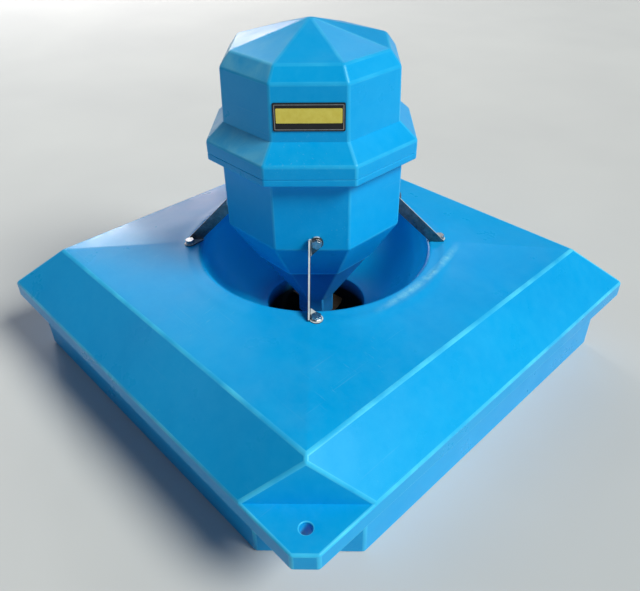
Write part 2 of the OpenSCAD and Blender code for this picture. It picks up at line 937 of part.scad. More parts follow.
module motor_housing() {
    color([0.03, 0.55, 0.82])
        difference() {
            octagon_form([
                [neck_half, neck_foot], [neck_half, neck_top], [lower_cone_half, tier_z],
                [tier_half, tier_z], [wall_half, cone_top], [wall_half, flange_z],
                [collar_half, flange_z], [collar_half, joint_z], [spigot_half, joint_z],
                [spigot_half, joint_z + spigot_h]
            ]);
            // inside of the cones, under the ledge
            octagon_form([
                [cone_inside(neck_floor), neck_floor], [lower_cone_half - lower_cone_wall, tier_z],
                [cone_inside(ledge_foot), ledge_foot]
            ]);
            // inside of the wall and of the flange, over the ledge
            octagon_form([
                [inner_wall_half, ledge_top], [inner_wall_half, flange_z + flange_floor],
                [spigot_half - spigot_t, flange_z + flange_floor],
                [spigot_half - spigot_t, joint_z + spigot_h + over]
            ]);
            translate([0, 0, ledge_foot - over])
                cylinder(r = ledge_r, h = ledge_t + 2 * over);
            translate([0, 0, neck_foot - over])
                cylinder(r = bush_r + seat_gap, h = neck_h + housing_wall + 2 * over);
            plate_bolt_places(ledge_foot - over)
                cylinder(r = stud_r + hole_gap, h = ledge_t + 2 * over);
            at_wall_bolts()
                translate([0, 0, -housing_wall - over])
                    cylinder(r = bolt_hole_r, h = housing_wall + 2 * over);
            at_gland()
                translate([0, 0, -housing_wall - over])
                    cylinder(r = gland_r + hole_gap, h = housing_wall + 2 * over);
        }
}

// Half width of the space inside the cones at a height
function cone_inside(z) =
    z < tier_z
        ? neck_half + (z - neck_top) / tan(lower_cone_angle) - lower_cone_wall
        : tier_half + (z - tier_z) / tan(upper_cone_angle) - upper_cone_wall;

module neck_bush() {
    color([0.85, 0.83, 0.76])
        translate([0, 0, neck_foot])
            difference() {
                union() {
                    cylinder(r = bush_r, h = bush_h);
                    translate([0, 0, -bush_lip_t])
                        cylinder(r = bush_lip_r, h = bush_lip_t);
                }
                translate([0, 0, -bush_lip_t - over])
                    cylinder(r = drive_r + run_gap, h = bush_h + bush_lip_t + 2 * over);
            }
}

module neck_seal() {
    color([0.09, 0.09, 0.1])
        translate([0, 0, bush_top])
            tube(bush_r, drive_r + run_gap, neck_seal_t);
}

module at_gland() {
    rotate([0, 0, back_turn])
        translate([wall_half, 0, gland_z])
            rotate([0, 90, 0])
                children();
}

module cable_gland() {
    color([0.08, 0.08, 0.09])
        at_gland()
            difference() {
                union() {
                    translate([0, 0, -gland_tail])
                        cylinder(r = gland_r, h = gland_tail + over);
                    hexagon(gland_hex_af, gland_hex_h);
                    cylinder(r = gland_dome_r, h = gland_hex_h + gland_dome_h);
                }
                translate([0, 0, -gland_tail - over])
                    cylinder(r = gland_bore, h = gland_tail + gland_hex_h + gland_dome_h + 2 * over);
            }
}

module gland_nut() {
    color([0.08, 0.08, 0.09])
        at_gland()
            translate([0, 0, -housing_wall - gland_nut_h])
                hex_nut(gland_r + thread_gap, gland_hex_af, gland_nut_h);
}

module plate_bolt_places(z) {
    for (i = [0:plate_bolt_count - 1])
        rotate([0, 0, half_side_turn + i * 360 / plate_bolt_count])
            translate([plate_bolt_circle, 0, z])
                children();
}

module flange_bolt_places(z) {
    for (i = [0:3])
        rotate([0, 0, half_side_turn + i * 90])
            translate([flange_bolt_circle, 0, z])
                children();
}

module motor_plate() {
    color([0.45, 0.46, 0.48])
        difference() {
            translate([0, 0, ledge_top])
                cylinder(r = motor_plate_r, h = motor_plate_t);
            translate([0, 0, ledge_top - over])
                cylinder(r = spigot_r + seat_gap, h = motor_plate_t + 2 * over);
            plate_bolt_places(ledge_top - over)
                cylinder(r = stud_r + hole_gap, h = motor_plate_t + 2 * over);
            flange_bolt_places(ledge_top - over)
                cylinder(r = stud_r + hole_gap, h = motor_plate_t + 2 * over);
        }
}

module plate_bolts() {
    color([0.75, 0.77, 0.8])
        plate_bolt_places(plate_top)
            hex_bolt(stud_r, stud_af, stud_head_h, motor_plate_t + ledge_t + stud_nut_h + stud_end);
}

module plate_nuts() {
    color([0.75, 0.77, 0.8])
        plate_bolt_places(ledge_foot - stud_nut_h)
            hex_nut(stud_r + thread_gap, stud_af, stud_nut_h);
}

module flange_bolts() {
    color([0.75, 0.77, 0.8])
        flange_bolt_places(plate_top + flange_t)
            hex_bolt(stud_r, stud_af, stud_head_h, flange_t + motor_plate_t + stud_nut_h + stud_end);
}

module flange_nuts() {
    color([0.75, 0.77, 0.8])
        flange_bolt_places(ledge_top - stud_nut_h)
            hex_nut(stud_r + thread_gap, stud_af, stud_nut_h);
}

module tie_places(z) {
    for (i = [0:tie_count - 1])
        rotate([0, 0, tie_turn + i * 360 / tie_count])
            translate([tie_circle, 0, z])
                children();
}

// Lower end shield: flange, spigot, bearing seat and the bell under the frame
module drive_end_shield() {
    bell_r = flange_bolt_circle - stud_af / 2 - bell_gap;
    color([0.42, 0.45, 0.47])
        difference() {
            union() {
                translate([0, 0, plate_top - flange_spigot_h])
                    cylinder(r = spigot_r, h = flange_spigot_h + over);
                translate([0, 0, plate_top])
                    cylinder(r = flange_r, h = flange_t);
                translate([0, 0, plate_top + flange_t])
                    cylinder(r = bell_r, h = shield_h / 2 + over);
                translate([0, 0, plate_top + flange_t + shield_h / 2])
                    cylinder(r = shield_r, h = shield_h / 2);
            }
            // hollow of the bell, around the bearing's seat
            translate([0, 0, plate_top + flange_t])
                tube(bell_r - shield_wall, bearing_r + shield_wall, shield_h + over);
            translate([0, 0, lower_bearing_z])
                cylinder(r = bearing_r + seat_gap, h = shield_h + over);
            translate([0, 0, seal_z - over])
                cylinder(r = motor_shaft_r + seal_wall + seat_gap, h = seal_h + over);
            translate([0, 0, seal_z])
                cylinder(r = lower_shoulder_r, h = shield_h + flange_t);
            flange_bolt_places(plate_top - over)
                cylinder(r = stud_r + hole_gap, h = flange_t + 2 * over);
            tie_places(frame_foot - shield_h / 2 - over)
                cylinder(r = screw_r + thread_gap, h = shield_h);
        }
}

module shaft_seal() {
    color([0.3, 0.12, 0.1])
        translate([0, 0, seal_z])
            tube(motor_shaft_r + seal_wall, motor_shaft_r + run_gap, seal_h - seat_gap);
}

module motor_frame() {
    color([0.42, 0.45, 0.47])
        difference() {
            translate([0, 0, frame_foot])
                linear_extrude(frame_h)
                    difference() {
                        union() {
                            circle(r = frame_r);
                            for (i = [0:rib_count - 1])
                                rotate(i * 360 / rib_count)
                                    translate([frame_r - frame_wall / 2, -rib_t / 2])
                                        square([rib_h + frame_wall / 2, rib_t]);
                            rotate(back_turn)
                                translate([frame_r - frame_wall / 2, -pad_w / 2])
                                    square([rib_h + pad_proud + frame_wall / 2, pad_w]);
                            for (i = [0:tie_count - 1])
                                rotate(tie_turn + i * 360 / tie_count)
                                    translate([tie_circle, 0])
                                        circle(r = tie_boss_r);
                        }
                        circle(r = frame_bore + seat_gap);
                    }
            tie_places(frame_foot - over)
                cylinder(r = screw_r + hole_gap, h = frame_h + 2 * over);
        }
}

module slot_shape(grow) {
    for (i = [0:slot_count - 1])
        rotate(i * 360 / slot_count)
            translate([stator_bore + slot_tooth - grow, -slot_w / 2 - grow])
                square([slot_depth + 2 * grow, slot_w + 2 * grow]);
}

module stator_core() {
    color([0.35, 0.36, 0.38])
        translate([0, 0, stack_foot])
            linear_extrude(stack_h)
                difference() {
                    circle(r = frame_bore);
                    circle(r = stator_bore);
                    slot_shape(0);
                }
}

module stator_windings() {
    turn_inner = stator_bore + slot_tooth + coil_gap;
    color([0.72, 0.36, 0.14]) {
        translate([0, 0, stack_foot - over])
            linear_extrude(stack_h + 2 * over)
                slot_shape(-coil_gap);
        for (z = [stack_foot - end_turn_h, stack_foot + stack_h + coil_gap])
            translate([0, 0, z])
                tube(turn_inner + end_turn_wall - 2 * coil_gap, turn_inner, end_turn_h - coil_gap);
    }
}

// Upper end shield, with the seat of the upper bearing
module fan_end_shield() {
    color([0.42, 0.45, 0.47])
        difference() {
            translate([0, 0, frame_top])
                cylinder(r = shield_r, h = upper_shield_h);
            translate([0, 0, frame_top - over])
                cylinder(r = upper_bearing_r + seat_gap, h = upper_bearing_z - frame_top + bearing_h + over);
            translate([0, 0, frame_top])
                cylinder(r = upper_shoulder_r, h = upper_shield_h + over);
            tie_places(frame_top - over)
                cylinder(r = screw_r + hole_gap, h = upper_shield_h + 2 * over);
            cover_screw_places()
                translate([0, 0, -cover_gap - cover_screw_bite])
                    cylinder(r = screw_r + thread_gap, h = cover_screw_bite + over);
        }
}

// Long bolts that hold both end shields on the frame
module shield_bolts() {
    color([0.75, 0.77, 0.8])
        tie_places(frame_top + upper_shield_h)
            hex_bolt(screw_r, tie_af, tie_head_h, upper_shield_h + frame_h + shield_h / 2);
}

module at_box() {
    rotate([0, 0, back_turn])
        translate([box_x, 0, box_z])
            children();
}

module lid_screw_places() {
    at_box()
        for (y = [-1, 1], z = [-1, 1])
            translate([box_d, y * (box_w - lid_post) / 2, box_w / 2 + z * (box_w - lid_post) / 2])
                rotate([0, 90, 0])
                    children();
}

module terminal_box() {
    color([0.4, 0.43, 0.45])
        difference() {
            at_box()
                difference() {
                    translate([0, -box_w / 2, 0])
                        cube([box_d, box_w, box_w]);
                    difference() {
                        translate([box_wall, box_wall - box_w / 2, box_wall])
                            cube([box_d, box_w - 2 * box_wall, box_w - 2 * box_wall]);
                        for (y = [-1, 1], z = [-1, 1])
                            translate([
                                -over, y * (box_w - lid_post) / 2 - lid_post / 2,
                                box_w / 2 + z * (box_w - lid_post) / 2 - lid_post / 2
                            ])
                                cube([box_d + 2 * over, lid_post, lid_post]);
                    }
                    translate([box_d / 2, 0, -over])
                        cylinder(r = box_entry_r, h = box_wall + 2 * over);
                }
            lid_screw_places()
                translate([0, 0, -4 * screw_r])
                    cylinder(r = screw_r + thread_gap, h = 4 * screw_r + over);
        }
}

module terminal_lid() {
    color([0.4, 0.43, 0.45])
        difference() {
            at_box()
                translate([box_d, -box_w / 2, 0])
                    cube([lid_t, box_w, box_w]);
            lid_screw_places()
                translate([0, 0, -over])
                    cylinder(r = screw_r + hole_gap, h = lid_t + 2 * over);
        }
}

module lid_screws() {
    color([0.75, 0.77, 0.8])
        lid_screw_places()
            translate([0, 0, lid_t])
                pan_screw(screw_r, lid_t + 3 * screw_r);
}

module cover_screw_places() {
    for (i = [0:3])
        rotate([0, 0, i * 90])
            translate([cover_r, 0, cover_screw_z])
                rotate([0, 90, 0])
                    children();
}

module fan_cover() {
    pocket = cover_r - shield_r;
    color([0.15, 0.16, 0.17])
        difference() {
            union() {
                translate([0, 0, cover_foot])
                    tube(cover_r, cover_r - cover_wall, cover_top - cover_foot);
                translate([0, 0, cover_top - cover_wall])
                    cylinder(r = cover_r, h = cover_wall);
                // spacer tubes between cover and shield
                cover_screw_places()
                    translate([0, 0, pass_gap - pocket])
                        cylinder(r = 2 * screw_r, h = pocket - pass_gap - cover_wall / 2);
            }
            cover_screw_places()
                translate([0, 0, -pocket - over])
                    cylinder(r = screw_r + hole_gap, h = pocket + 2 * over);
            for (ring = [0:vent_rings - 1])
                for (i = [0:8 * (ring + 1) - 1])
                    rotate([0, 0, i * 45 / (ring + 1)])
                        translate([vent_first_r + ring * vent_ring_step, 0, cover_top - cover_wall - over])
                            cylinder(r = vent_hole_r, h = cover_wall + 2 * over);
        }
}

module cover_screws() {
    color([0.75, 0.77, 0.8])
        cover_screw_places()
            translate([0, 0, seat_gap])
                pan_screw(screw_r, cover_gap + cover_screw_bite - cover_screw_end);
}

module bearing_ring(outer, inner, z, groove_circle) {
    translate([0, 0, z])
        difference() {
            tube(outer, inner, bearing_h);
            translate([0, 0, bearing_h / 2])
                rotate_extrude()
                    translate([groove_circle, 0])
                        circle(r = ball_r + ball_room, $fn = 48);
        }
}

module bearing_outer_rings() {
    lip = ball_r * ring_share;
    color([0.8, 0.81, 0.83]) {
        bearing_ring(bearing_r, ball_circle + lip, lower_bearing_z, ball_circle);
        bearing_ring(upper_bearing_r, upper_ball_circle + lip, upper_bearing_z, upper_ball_circle);
    }
}

module bearing_inner_rings() {
    lip = ball_r * ring_share;
    grip = seat_gap / 2;
    color([0.8, 0.81, 0.83]) {
        bearing_ring(ball_circle - lip, lower_bore + grip, lower_bearing_z, ball_circle);
        bearing_ring(upper_ball_circle - lip, upper_bore + grip, upper_bearing_z, upper_ball_circle);
    }
}

module ball_ring(circle_r, count, z) {
    for (i = [0:count - 1])
        rotate([0, 0, i * 360 / count])
            translate([circle_r, 0, z + bearing_h / 2])
                sphere(r = ball_r, $fn = 24);
}

module ball_cage(circle_r, count, z) {
    translate([0, 0, z + (bearing_h - cage_h) / 2])
        difference() {
            tube(circle_r + cage_t / 2, circle_r - cage_t / 2, cage_h);
            for (i = [0:count - 1])
                rotate([0, 0, i * 360 / count])
                    translate([circle_r - cage_t, 0, cage_h / 2])
                        rotate([0, 90, 0])
                            cylinder(r = cage_hole, h = 2 * cage_t);
        }
}

module rotor_core() {
    color([0.6, 0.61, 0.63])
        difference() {
            union() {
                translate([0, 0, stack_foot])
                    cylinder(r = rotor_r, h = stack_h);
                translate([0, 0, stack_foot - end_ring_h])
                    cylinder(r = rotor_r - end_ring_step, h = stack_h + 2 * end_ring_h);
            }
            for (z = [stack_foot - end_ring_h - over, stack_foot + stack_h])
                translate([0, 0, z])
                    cylinder(r = rotor_r - end_ring_wall, h = end_ring_h + over);
            translate([0, 0, stack_foot - over])
                cylinder(r = core_shaft_r + seat_gap / 2, h = stack_h + 2 * over);
        }
}

module motor_shaft() {
    core_foot = lower_bearing_z + bearing_h;
    color([0.66, 0.67, 0.69])
        difference() {
            union() {
                translate([0, 0, shaft_foot])
                    cylinder(r = motor_shaft_r, h = lower_bearing_z - shaft_foot);
                translate([0, 0, lower_bearing_z - seat_run])
                    cylinder(r = lower_bore, h = bearing_h + seat_run + over);
                translate([0, 0, core_foot])
                    cylinder(r = core_shaft_r, h = upper_bearing_z - core_foot);
                translate([0, 0, upper_bearing_z - over])
                    cylinder(r = upper_bore, h = bearing_h + seat_run + over);
                translate([0, 0, upper_bearing_z])
                    cylinder(r = fan_shaft_r, h = shaft_top - upper_bearing_z);
            }
            key_slot(motor_shaft_r, shaft_foot, shaft_end_l - coupling_gap_top());
            translate([0, 0, fan_z + fan_h])
                tube(fan_shaft_r + over, fan_shaft_r - clip_depth, clip_t + clip_gap);
        }
}

// Length of the motor shaft's end that stands above the coupling
function coupling_gap_top() = plate_top - coupling_top;

// Groove for a parallel key along a shaft or in a hub, centred on the surface
module key_slot(r, z, length) {
    translate([r - key_h / 2 - key_gap, -key_w / 2 - key_gap, z - key_room])
        cube([key_h + 2 * key_gap, key_w + 2 * key_gap, length + 2 * key_room]);
}

module key(r, z, length) {
    translate([r - key_h / 2, -key_w / 2, z])
        cube([key_h, key_w, length]);
}

module cooling_fan() {
    color([0.12, 0.12, 0.13])
        translate([0, 0, fan_z])
            difference() {
                union() {
                    cylinder(r = fan_hub_r, h = fan_h);
                    cylinder(r = fan_r, h = fan_disc_t);
                    for (i = [0:fan_blades - 1])
                        rotate([0, 0, i * 360 / fan_blades])
                            translate([fan_hub_r - over, -fan_blade_t / 2, 0])
                                cube([fan_r - fan_hub_r, fan_blade_t, fan_h]);
                }
                translate([0, 0, -over])
                    cylinder(r = fan_shaft_r + seat_gap / 2, h = fan_h + 2 * over);
            }
}

module fan_clip() {
    color([0.2, 0.2, 0.22])
        translate([0, 0, fan_z + fan_h + seat_gap])
            difference() {
                tube(clip_r, fan_shaft_r - clip_gap, clip_t);
                translate([0, -clip_t, -over])
                    cube([clip_r + over, 2 * clip_t, clip_t + 2 * over]);
            }
}

module coupling_sleeve() {
    color([0.5, 0.51, 0.53])
        difference() {
            translate([0, 0, coupling_foot])
                cylinder(r = coupling_r, h = coupling_h);
            translate([0, 0, drive_top])
                cylinder(r = motor_shaft_r + seat_gap / 2, h = coupling_h);
            translate([0, 0, coupling_foot - over])
                cylinder(r = drive_r + seat_gap / 2, h = coupling_h);
            key_slot(motor_shaft_r, shaft_foot, coupling_top - shaft_foot);
            key_slot(drive_r, coupling_foot, drive_top - coupling_foot);
            set_screw_places()
                cylinder(r = set_screw_r + thread_gap, h = coupling_r);
        }
}

// Two set screws, one onto each shaft, on the side away from the keys
module set_screw_places() {
    for (z = [(coupling_top + shaft_foot) / 2, (coupling_foot + drive_top) / 2])
        rotate([0, 0, 180])
            translate([coupling_r - set_screw_l, 0, z])
                rotate([0, 90, 0])
                    children();
}

module coupling_screws() {
    color([0.2, 0.2, 0.22])
        set_screw_places()
            difference() {
                cylinder(r = set_screw_r, h = set_screw_l - set_screw_sink);
                translate([0, 0, set_screw_l / 2])
                    hexagon(set_screw_r, set_screw_l);
            }
}

module drive_shaft() {
    color([0.72, 0.73, 0.75])
        difference() {
            union() {
                translate([0, 0, hub_top])
                    cylinder(r = drive_r, h = drive_top - hub_top);
                translate([0, 0, hub_foot])
                    cylinder(r = hub_bore, h = hub_h + over);
                translate([0, 0, drive_foot])
                    cylinder(r = stem_r, h = hub_foot - drive_foot + over);
            }
            key_slot(drive_r, coupling_foot + key_w, drive_top - coupling_foot);
            key_slot(hub_bore, hub_foot + key_w, hub_h - 2 * key_w);
        }
}

module shaft_keys() {
    color([0.4, 0.41, 0.43]) {
        key(motor_shaft_r, shaft_foot, coupling_top - shaft_foot - key_w);
        key(drive_r, coupling_foot + key_w, drive_top - coupling_foot - 2 * key_w);
        key(hub_bore, hub_foot + key_w, hub_h - 2 * key_w);
    }
}

// Rubber ring on the shaft that throws water off before the bush
module slinger() {
    color([0.09, 0.09, 0.1])
        translate([0, 0, slinger_z])
            tube(slinger_r, drive_r + seat_gap / 2, slinger_h);
}

// Outline of one blade at a share of the way from root to tip
function blade_ring(share) =
    let (
        reach = hub_r * blade_root_share + (tip_r - hub_r * blade_root_share) * share,
        spread = blade_half_angle * (1 - blade_taper_share * share),
        thick = blade_root_t + (blade_tip_t - blade_root_t) * share,
        under = [for (i = [0:blade_chord_steps]) blade_point(reach, spread, thick, share, i, -1)],
        above = [for (i = [blade_chord_steps:-1:0]) blade_point(reach, spread, thick, share, i, 1)]
    ) concat(under, above);

function blade_point(reach, spread, thick, share, i, side) =
    let (
        along = 2 * i / blade_chord_steps - 1,
        turn = along * spread + blade_skew * share,
        body = thick / 2 * (blade_edge_share + (1 - blade_edge_share) * (1 - along * along))
    ) [reach * cos(turn), reach * sin(turn), blade_z + along * spread / 360 * blade_pitch + side * body];

module propeller() {
    color([0.62, 0.5, 0.28])
        difference() {
            union() {
                translate([0, 0, hub_foot])
                    cylinder(r = hub_r, h = hub_h);
                for (i = [0:blade_count - 1])
                    rotate([0, 0, i * 360 / blade_count])
                        loft([for (j = [0:blade_ring_steps]) blade_ring(j / blade_ring_steps)]);
            }
            translate([0, 0, hub_foot - over])
                cylinder(r = hub_bore + seat_gap / 2, h = hub_h + 2 * over);
            key_slot(hub_bore, hub_foot + over, hub_h - 2 * over);
        }
}

module propeller_washer() {
    color([0.75, 0.77, 0.8])
        translate([0, 0, hub_foot - prop_washer_t])
            tube(prop_washer_r, stem_r + thread_gap, prop_washer_t);
}

module propeller_nut() {
    color([0.75, 0.77, 0.8])
        translate([0, 0, hub_foot - prop_washer_t - prop_nut_h])
            hex_nut(stem_r + thread_gap, prop_nut_af, prop_nut_h);
}

// Soft ring on the flange, between the housing's spigot and the cap's collar
module cap_gasket() {
    outside = collar_half - cap_wall - pass_gap;
    inside = spigot_half + seat_gap;
    color([0.1, 0.1, 0.11])
        translate([0, 0, joint_z])
            linear_extrude(gasket_h)
                difference() {
                    octagon_outline(outside);
                    octagon_outline(inside);
                }
}

module motor_cap() {
    eaves_lean = atan2(eaves_h, eaves_in);
    slope_lean = atan2(collar_slope_h, collar_half - cap_foot_half);
    inner_roof_foot = roof_foot - cap_wall * tan(eaves_lean / 2);
    inner_peak = peak_z - cap_wall / cos(roof_slope);
    color([0.03, 0.58, 0.85])
        difference() {
            octagon_form([
                [collar_half, cap_foot], [collar_half, collar_top], [cap_foot_half, cap_wall_foot],
                [cap_head_half, cap_wall_head], [roof_half, roof_foot], [peak_half, peak_z]
            ]);
            octagon_form([
                [collar_half - cap_wall, cap_foot - over],
                [collar_half - cap_wall, collar_top - cap_wall * tan(slope_lean / 2)],
                [cap_foot_half - cap_wall, cap_wall_foot - cap_wall * tan(slope_lean / 2)],
                [cap_head_half - cap_wall, cap_wall_head - cap_wall / 2],
                [roof_half - cap_wall / 2, inner_roof_foot],
                [peak_half, inner_peak]
            ]);
        }
}

module nameplate() {
    color([0.03, 0.03, 0.04])
        rotate([0, 0, front_turn])
            translate([cap_foot_half, 0, cap_wall_foot])
                rotate([0, -cap_lean, 0])
                    translate([seat_gap, 0, plate_rise / cos(cap_lean)])
                        rotate([90, 0, 90]) {
                            linear_extrude(plate_t)
                                rounded_plate(plate_w, plate_h, plate_corner);
                            translate([0, 0, plate_t / 2])
                                linear_extrude(plate_t / 2 + plate_rim_rise)
                                    plate_border();
                            translate([0, panel_lift, plate_t / 2])
                                linear_extrude(plate_t / 2 + plate_rim_rise)
                                    rounded_plate(panel_w, panel_h, plate_rim);
                        }
}

module rounded_plate(w, h, r) {
    square([w - 2 * r, h], center = true);
    square([w, h - 2 * r], center = true);
    for (x = [-1, 1], y = [-1, 1])
        translate([x * (w / 2 - r), y * (h / 2 - r)])
            circle(r = r, $fn = 32);
}

module plate_border() {
    outer_w = plate_w - plate_rim_inset;
    outer_h = plate_h - plate_rim_inset;
    difference() {
        rounded_plate(outer_w, outer_h, plate_corner - plate_rim_inset / 2);
        square([outer_w - 2 * plate_rim, outer_h - 2 * plate_rim], center = true);
    }
}

float_shell();
vent_plug();
foot_inserts();
intake_guard();
guard_screws();
arm(front_turn);  // arm_front
arm(right_turn);  // arm_right
arm(back_turn);  // arm_back
arm(left_turn);  // arm_left
foot_bolts();
foot_washers();
wall_bolts();
wall_washers();
wall_nuts();
motor_housing();
neck_bush();
neck_seal();
cable_gland();
gland_nut();
motor_plate();
plate_bolts();
plate_nuts();
flange_bolts();
flange_nuts();
drive_end_shield();
shaft_seal();
motor_frame();
stator_core();
stator_windings();
fan_end_shield();
shield_bolts();
terminal_box();
terminal_lid();
lid_screws();
fan_cover();
cover_screws();
bearing_outer_rings();
bearing_inner_rings();
color([0.75, 0.6, 0.25]) ball_cage(ball_circle, ball_count, lower_bearing_z);  // lower_bearing_cage
color([0.85, 0.86, 0.88]) ball_ring(ball_circle, ball_count, lower_bearing_z);  // lower_bearing_balls
color([0.75, 0.6, 0.25]) ball_cage(upper_ball_circle, upper_ball_count, upper_bearing_z);  // upper_bearing_cage
color([0.85, 0.86, 0.88]) ball_ring(upper_ball_circle, upper_ball_count, upper_bearing_z);  // upper_bearing_balls
rotor_core();
motor_shaft();
cooling_fan();
fan_clip();
coupling_sleeve();
coupling_screws();
drive_shaft();
shaft_keys();
slinger();
propeller();
propeller_washer();
propeller_nut();
cap_gasket();
motor_cap();
nameplate();
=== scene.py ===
import json
import math

import bmesh
import bpy
from mathutils import Matrix, Vector


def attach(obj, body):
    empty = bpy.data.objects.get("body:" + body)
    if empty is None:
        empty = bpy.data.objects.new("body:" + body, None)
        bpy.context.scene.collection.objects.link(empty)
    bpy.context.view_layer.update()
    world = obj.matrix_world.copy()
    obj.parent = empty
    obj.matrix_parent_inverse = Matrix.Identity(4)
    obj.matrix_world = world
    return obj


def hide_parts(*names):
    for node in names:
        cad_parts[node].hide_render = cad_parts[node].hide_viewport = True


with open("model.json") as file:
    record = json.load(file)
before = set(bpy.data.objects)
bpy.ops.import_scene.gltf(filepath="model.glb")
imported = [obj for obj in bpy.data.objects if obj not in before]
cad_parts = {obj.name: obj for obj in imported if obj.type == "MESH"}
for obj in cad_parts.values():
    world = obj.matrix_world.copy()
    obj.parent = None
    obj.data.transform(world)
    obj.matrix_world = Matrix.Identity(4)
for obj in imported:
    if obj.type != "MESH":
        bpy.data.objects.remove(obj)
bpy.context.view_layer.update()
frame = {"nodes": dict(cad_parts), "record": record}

MM = 0.001
JOIN_GAP = 0.00001
FRONT, BACK = math.radians(-45), math.radians(135)

# Camera, as fitted to the photograph, in pixels of its frame and millimetres of the object
FRAME_WIDTH, FRAME_HEIGHT = 640, 591
FOCAL_PIXELS = 638.29
CENTRE_X, CENTRE_Y = 320.79, 277.76
YAW, ELEVATION, ROLL = math.radians(1.48), math.radians(35.28), math.radians(-0.86)
AIM = Vector((11.67, 0, 196.30))
DISTANCE = 1482.04
SENSOR = 36
CLIP = 0.05, 60

turn = Matrix.Rotation(-FRONT, 3, "Z")
back = Matrix.Rotation(YAW, 3, "Z") @ Vector((0, -math.cos(ELEVATION), math.sin(ELEVATION)))
right = (-back).cross(Vector((0, 0, 1))).normalized()
up = right.cross(-back).normalized()
right, up = right * math.cos(ROLL) + up * math.sin(ROLL), up * math.cos(ROLL) - right * math.sin(ROLL)
axes = Matrix([turn @ right, turn @ up, turn @ back]).transposed().to_4x4()
lens = bpy.data.cameras.new("camera")
lens.sensor_width = SENSOR
lens.lens = FOCAL_PIXELS / FRAME_WIDTH * SENSOR
lens.shift_x = (FRAME_WIDTH / 2 - CENTRE_X) / FRAME_WIDTH
lens.shift_y = (CENTRE_Y - FRAME_HEIGHT / 2) / FRAME_WIDTH
lens.clip_start, lens.clip_end = CLIP
camera = bpy.data.objects.new("camera", lens)
camera.matrix_world = Matrix.Translation(turn @ (AIM + back * DISTANCE) * MM) @ axes
bpy.context.scene.collection.objects.link(camera)
bpy.context.scene.camera = camera
# The default view greys this saturated blue
bpy.context.scene.view_settings.view_transform = "Standard"


def paint(colour):
    """A colour with its alpha, or the socket that carries one."""
    return colour if isinstance(colour, bpy.types.NodeSocket) else (*colour, 1)


class Graph:
    """A Principled material built node by node."""

    def __init__(self, name):
        self.material = bpy.data.materials.new(name)
        self.material.use_nodes = True
        self.tree = self.material.node_tree
        self.tree.nodes.clear()
        self.out = self.add("ShaderNodeOutputMaterial")
        self.shader = self.add("ShaderNodeBsdfPrincipled")
        self.join(self.shader.outputs[0], self.out.inputs["Surface"])
        self.coords = self.add("ShaderNodeTexCoord").outputs["Object"]
        self.height = None

    def add(self, kind):
        return self.tree.nodes.new(kind)

    def join(self, a, b):
        self.tree.links.new(a, b)

    def put(self, value, socket):
        if isinstance(value, bpy.types.NodeSocket):
            self.join(value, socket)
        else:
            socket.default_value = value

    def mapped(self, scale, turn=(0, 0, 0)):
        node = self.add("ShaderNodeMapping")
        node.inputs["Scale"].default_value = scale
        node.inputs["Rotation"].default_value = turn
        self.join(self.coords, node.inputs["Vector"])
        return node.outputs[0]

    def noise(self, scale, detail=3.0, rough=0.5, coords=None, twist=0.0):
        node = self.add("ShaderNodeTexNoise")
        node.inputs["Scale"].default_value = scale
        node.inputs["Detail"].default_value = detail
        node.inputs["Roughness"].default_value = rough
        node.inputs["Distortion"].default_value = twist
        self.join(coords or self.coords, node.inputs["Vector"])
        return node.outputs["Fac"]

    def cells(self, scale, output):
        node = self.add("ShaderNodeTexVoronoi")
        node.inputs["Scale"].default_value = scale
        self.join(self.coords, node.inputs["Vector"])
        return node.outputs[output]

    def span(self, value, low, high, to_low=0.0, to_high=1.0):
        node = self.add("ShaderNodeMapRange")
        node.inputs["From Min"].default_value = low
        node.inputs["From Max"].default_value = high
        node.inputs["To Min"].default_value = to_low
        node.inputs["To Max"].default_value = to_high
        self.join(value, node.inputs["Value"])
        return node.outputs[0]

    def calc(self, how, a, b=0.0):
        node = self.add("ShaderNodeMath")
        node.operation = how
        self.put(a, node.inputs[0])
        self.put(b, node.inputs[1])
        return node.outputs[0]

    def times(self, first, *rest):
        for value in rest:
            first = self.calc("MULTIPLY", first, value)
        return first

    def mix(self, share, a, b):
        node = self.add("ShaderNodeMix")
        node.data_type = "RGBA"
        self.put(share, node.inputs["Factor"])
        self.put(paint(a), node.inputs["A"])
        self.put(paint(b), node.inputs["B"])
        return node.outputs["Result"]

    def parts(self, vector):
        node = self.add("ShaderNodeSeparateXYZ")
        self.join(vector, node.inputs[0])
        return node.outputs

    def bump(self, height, distance, strength=1.0):
        node = self.add("ShaderNodeBump")
        node.inputs["Distance"].default_value = distance
        node.inputs["Strength"].default_value = strength
        self.join(height, node.inputs["Height"])
        if self.height is not None:
            self.join(self.height, node.inputs["Normal"])
        self.height = node.outputs[0]

    def done(self, colour, rough, metal=0.0, **fixed):
        self.put(paint(colour), self.shader.inputs["Base Color"])
        self.put(rough, self.shader.inputs["Roughness"])
        self.shader.inputs["Metallic"].default_value = metal
        for key, value in fixed.items():
            self.shader.inputs[key.replace("_", " ")].default_value = value
        if self.height is not None:
            self.join(self.height, self.shader.inputs["Normal"])
        return self.material


# Radii and heights, in metres, that the painted light and shade on the float and the housing follow
BOWL_EDGE, BOWL_WALL = 0.2505, 0.2440
THROAT_EDGE, THROAT_WALL = 0.120, 0.117
STREAK_PATH, STREAK_CURVE, STREAK_TURN = 0.268, 0.085, 0.03
NECK_STEP, STEP_BLEND = 0.2897, 0.0004
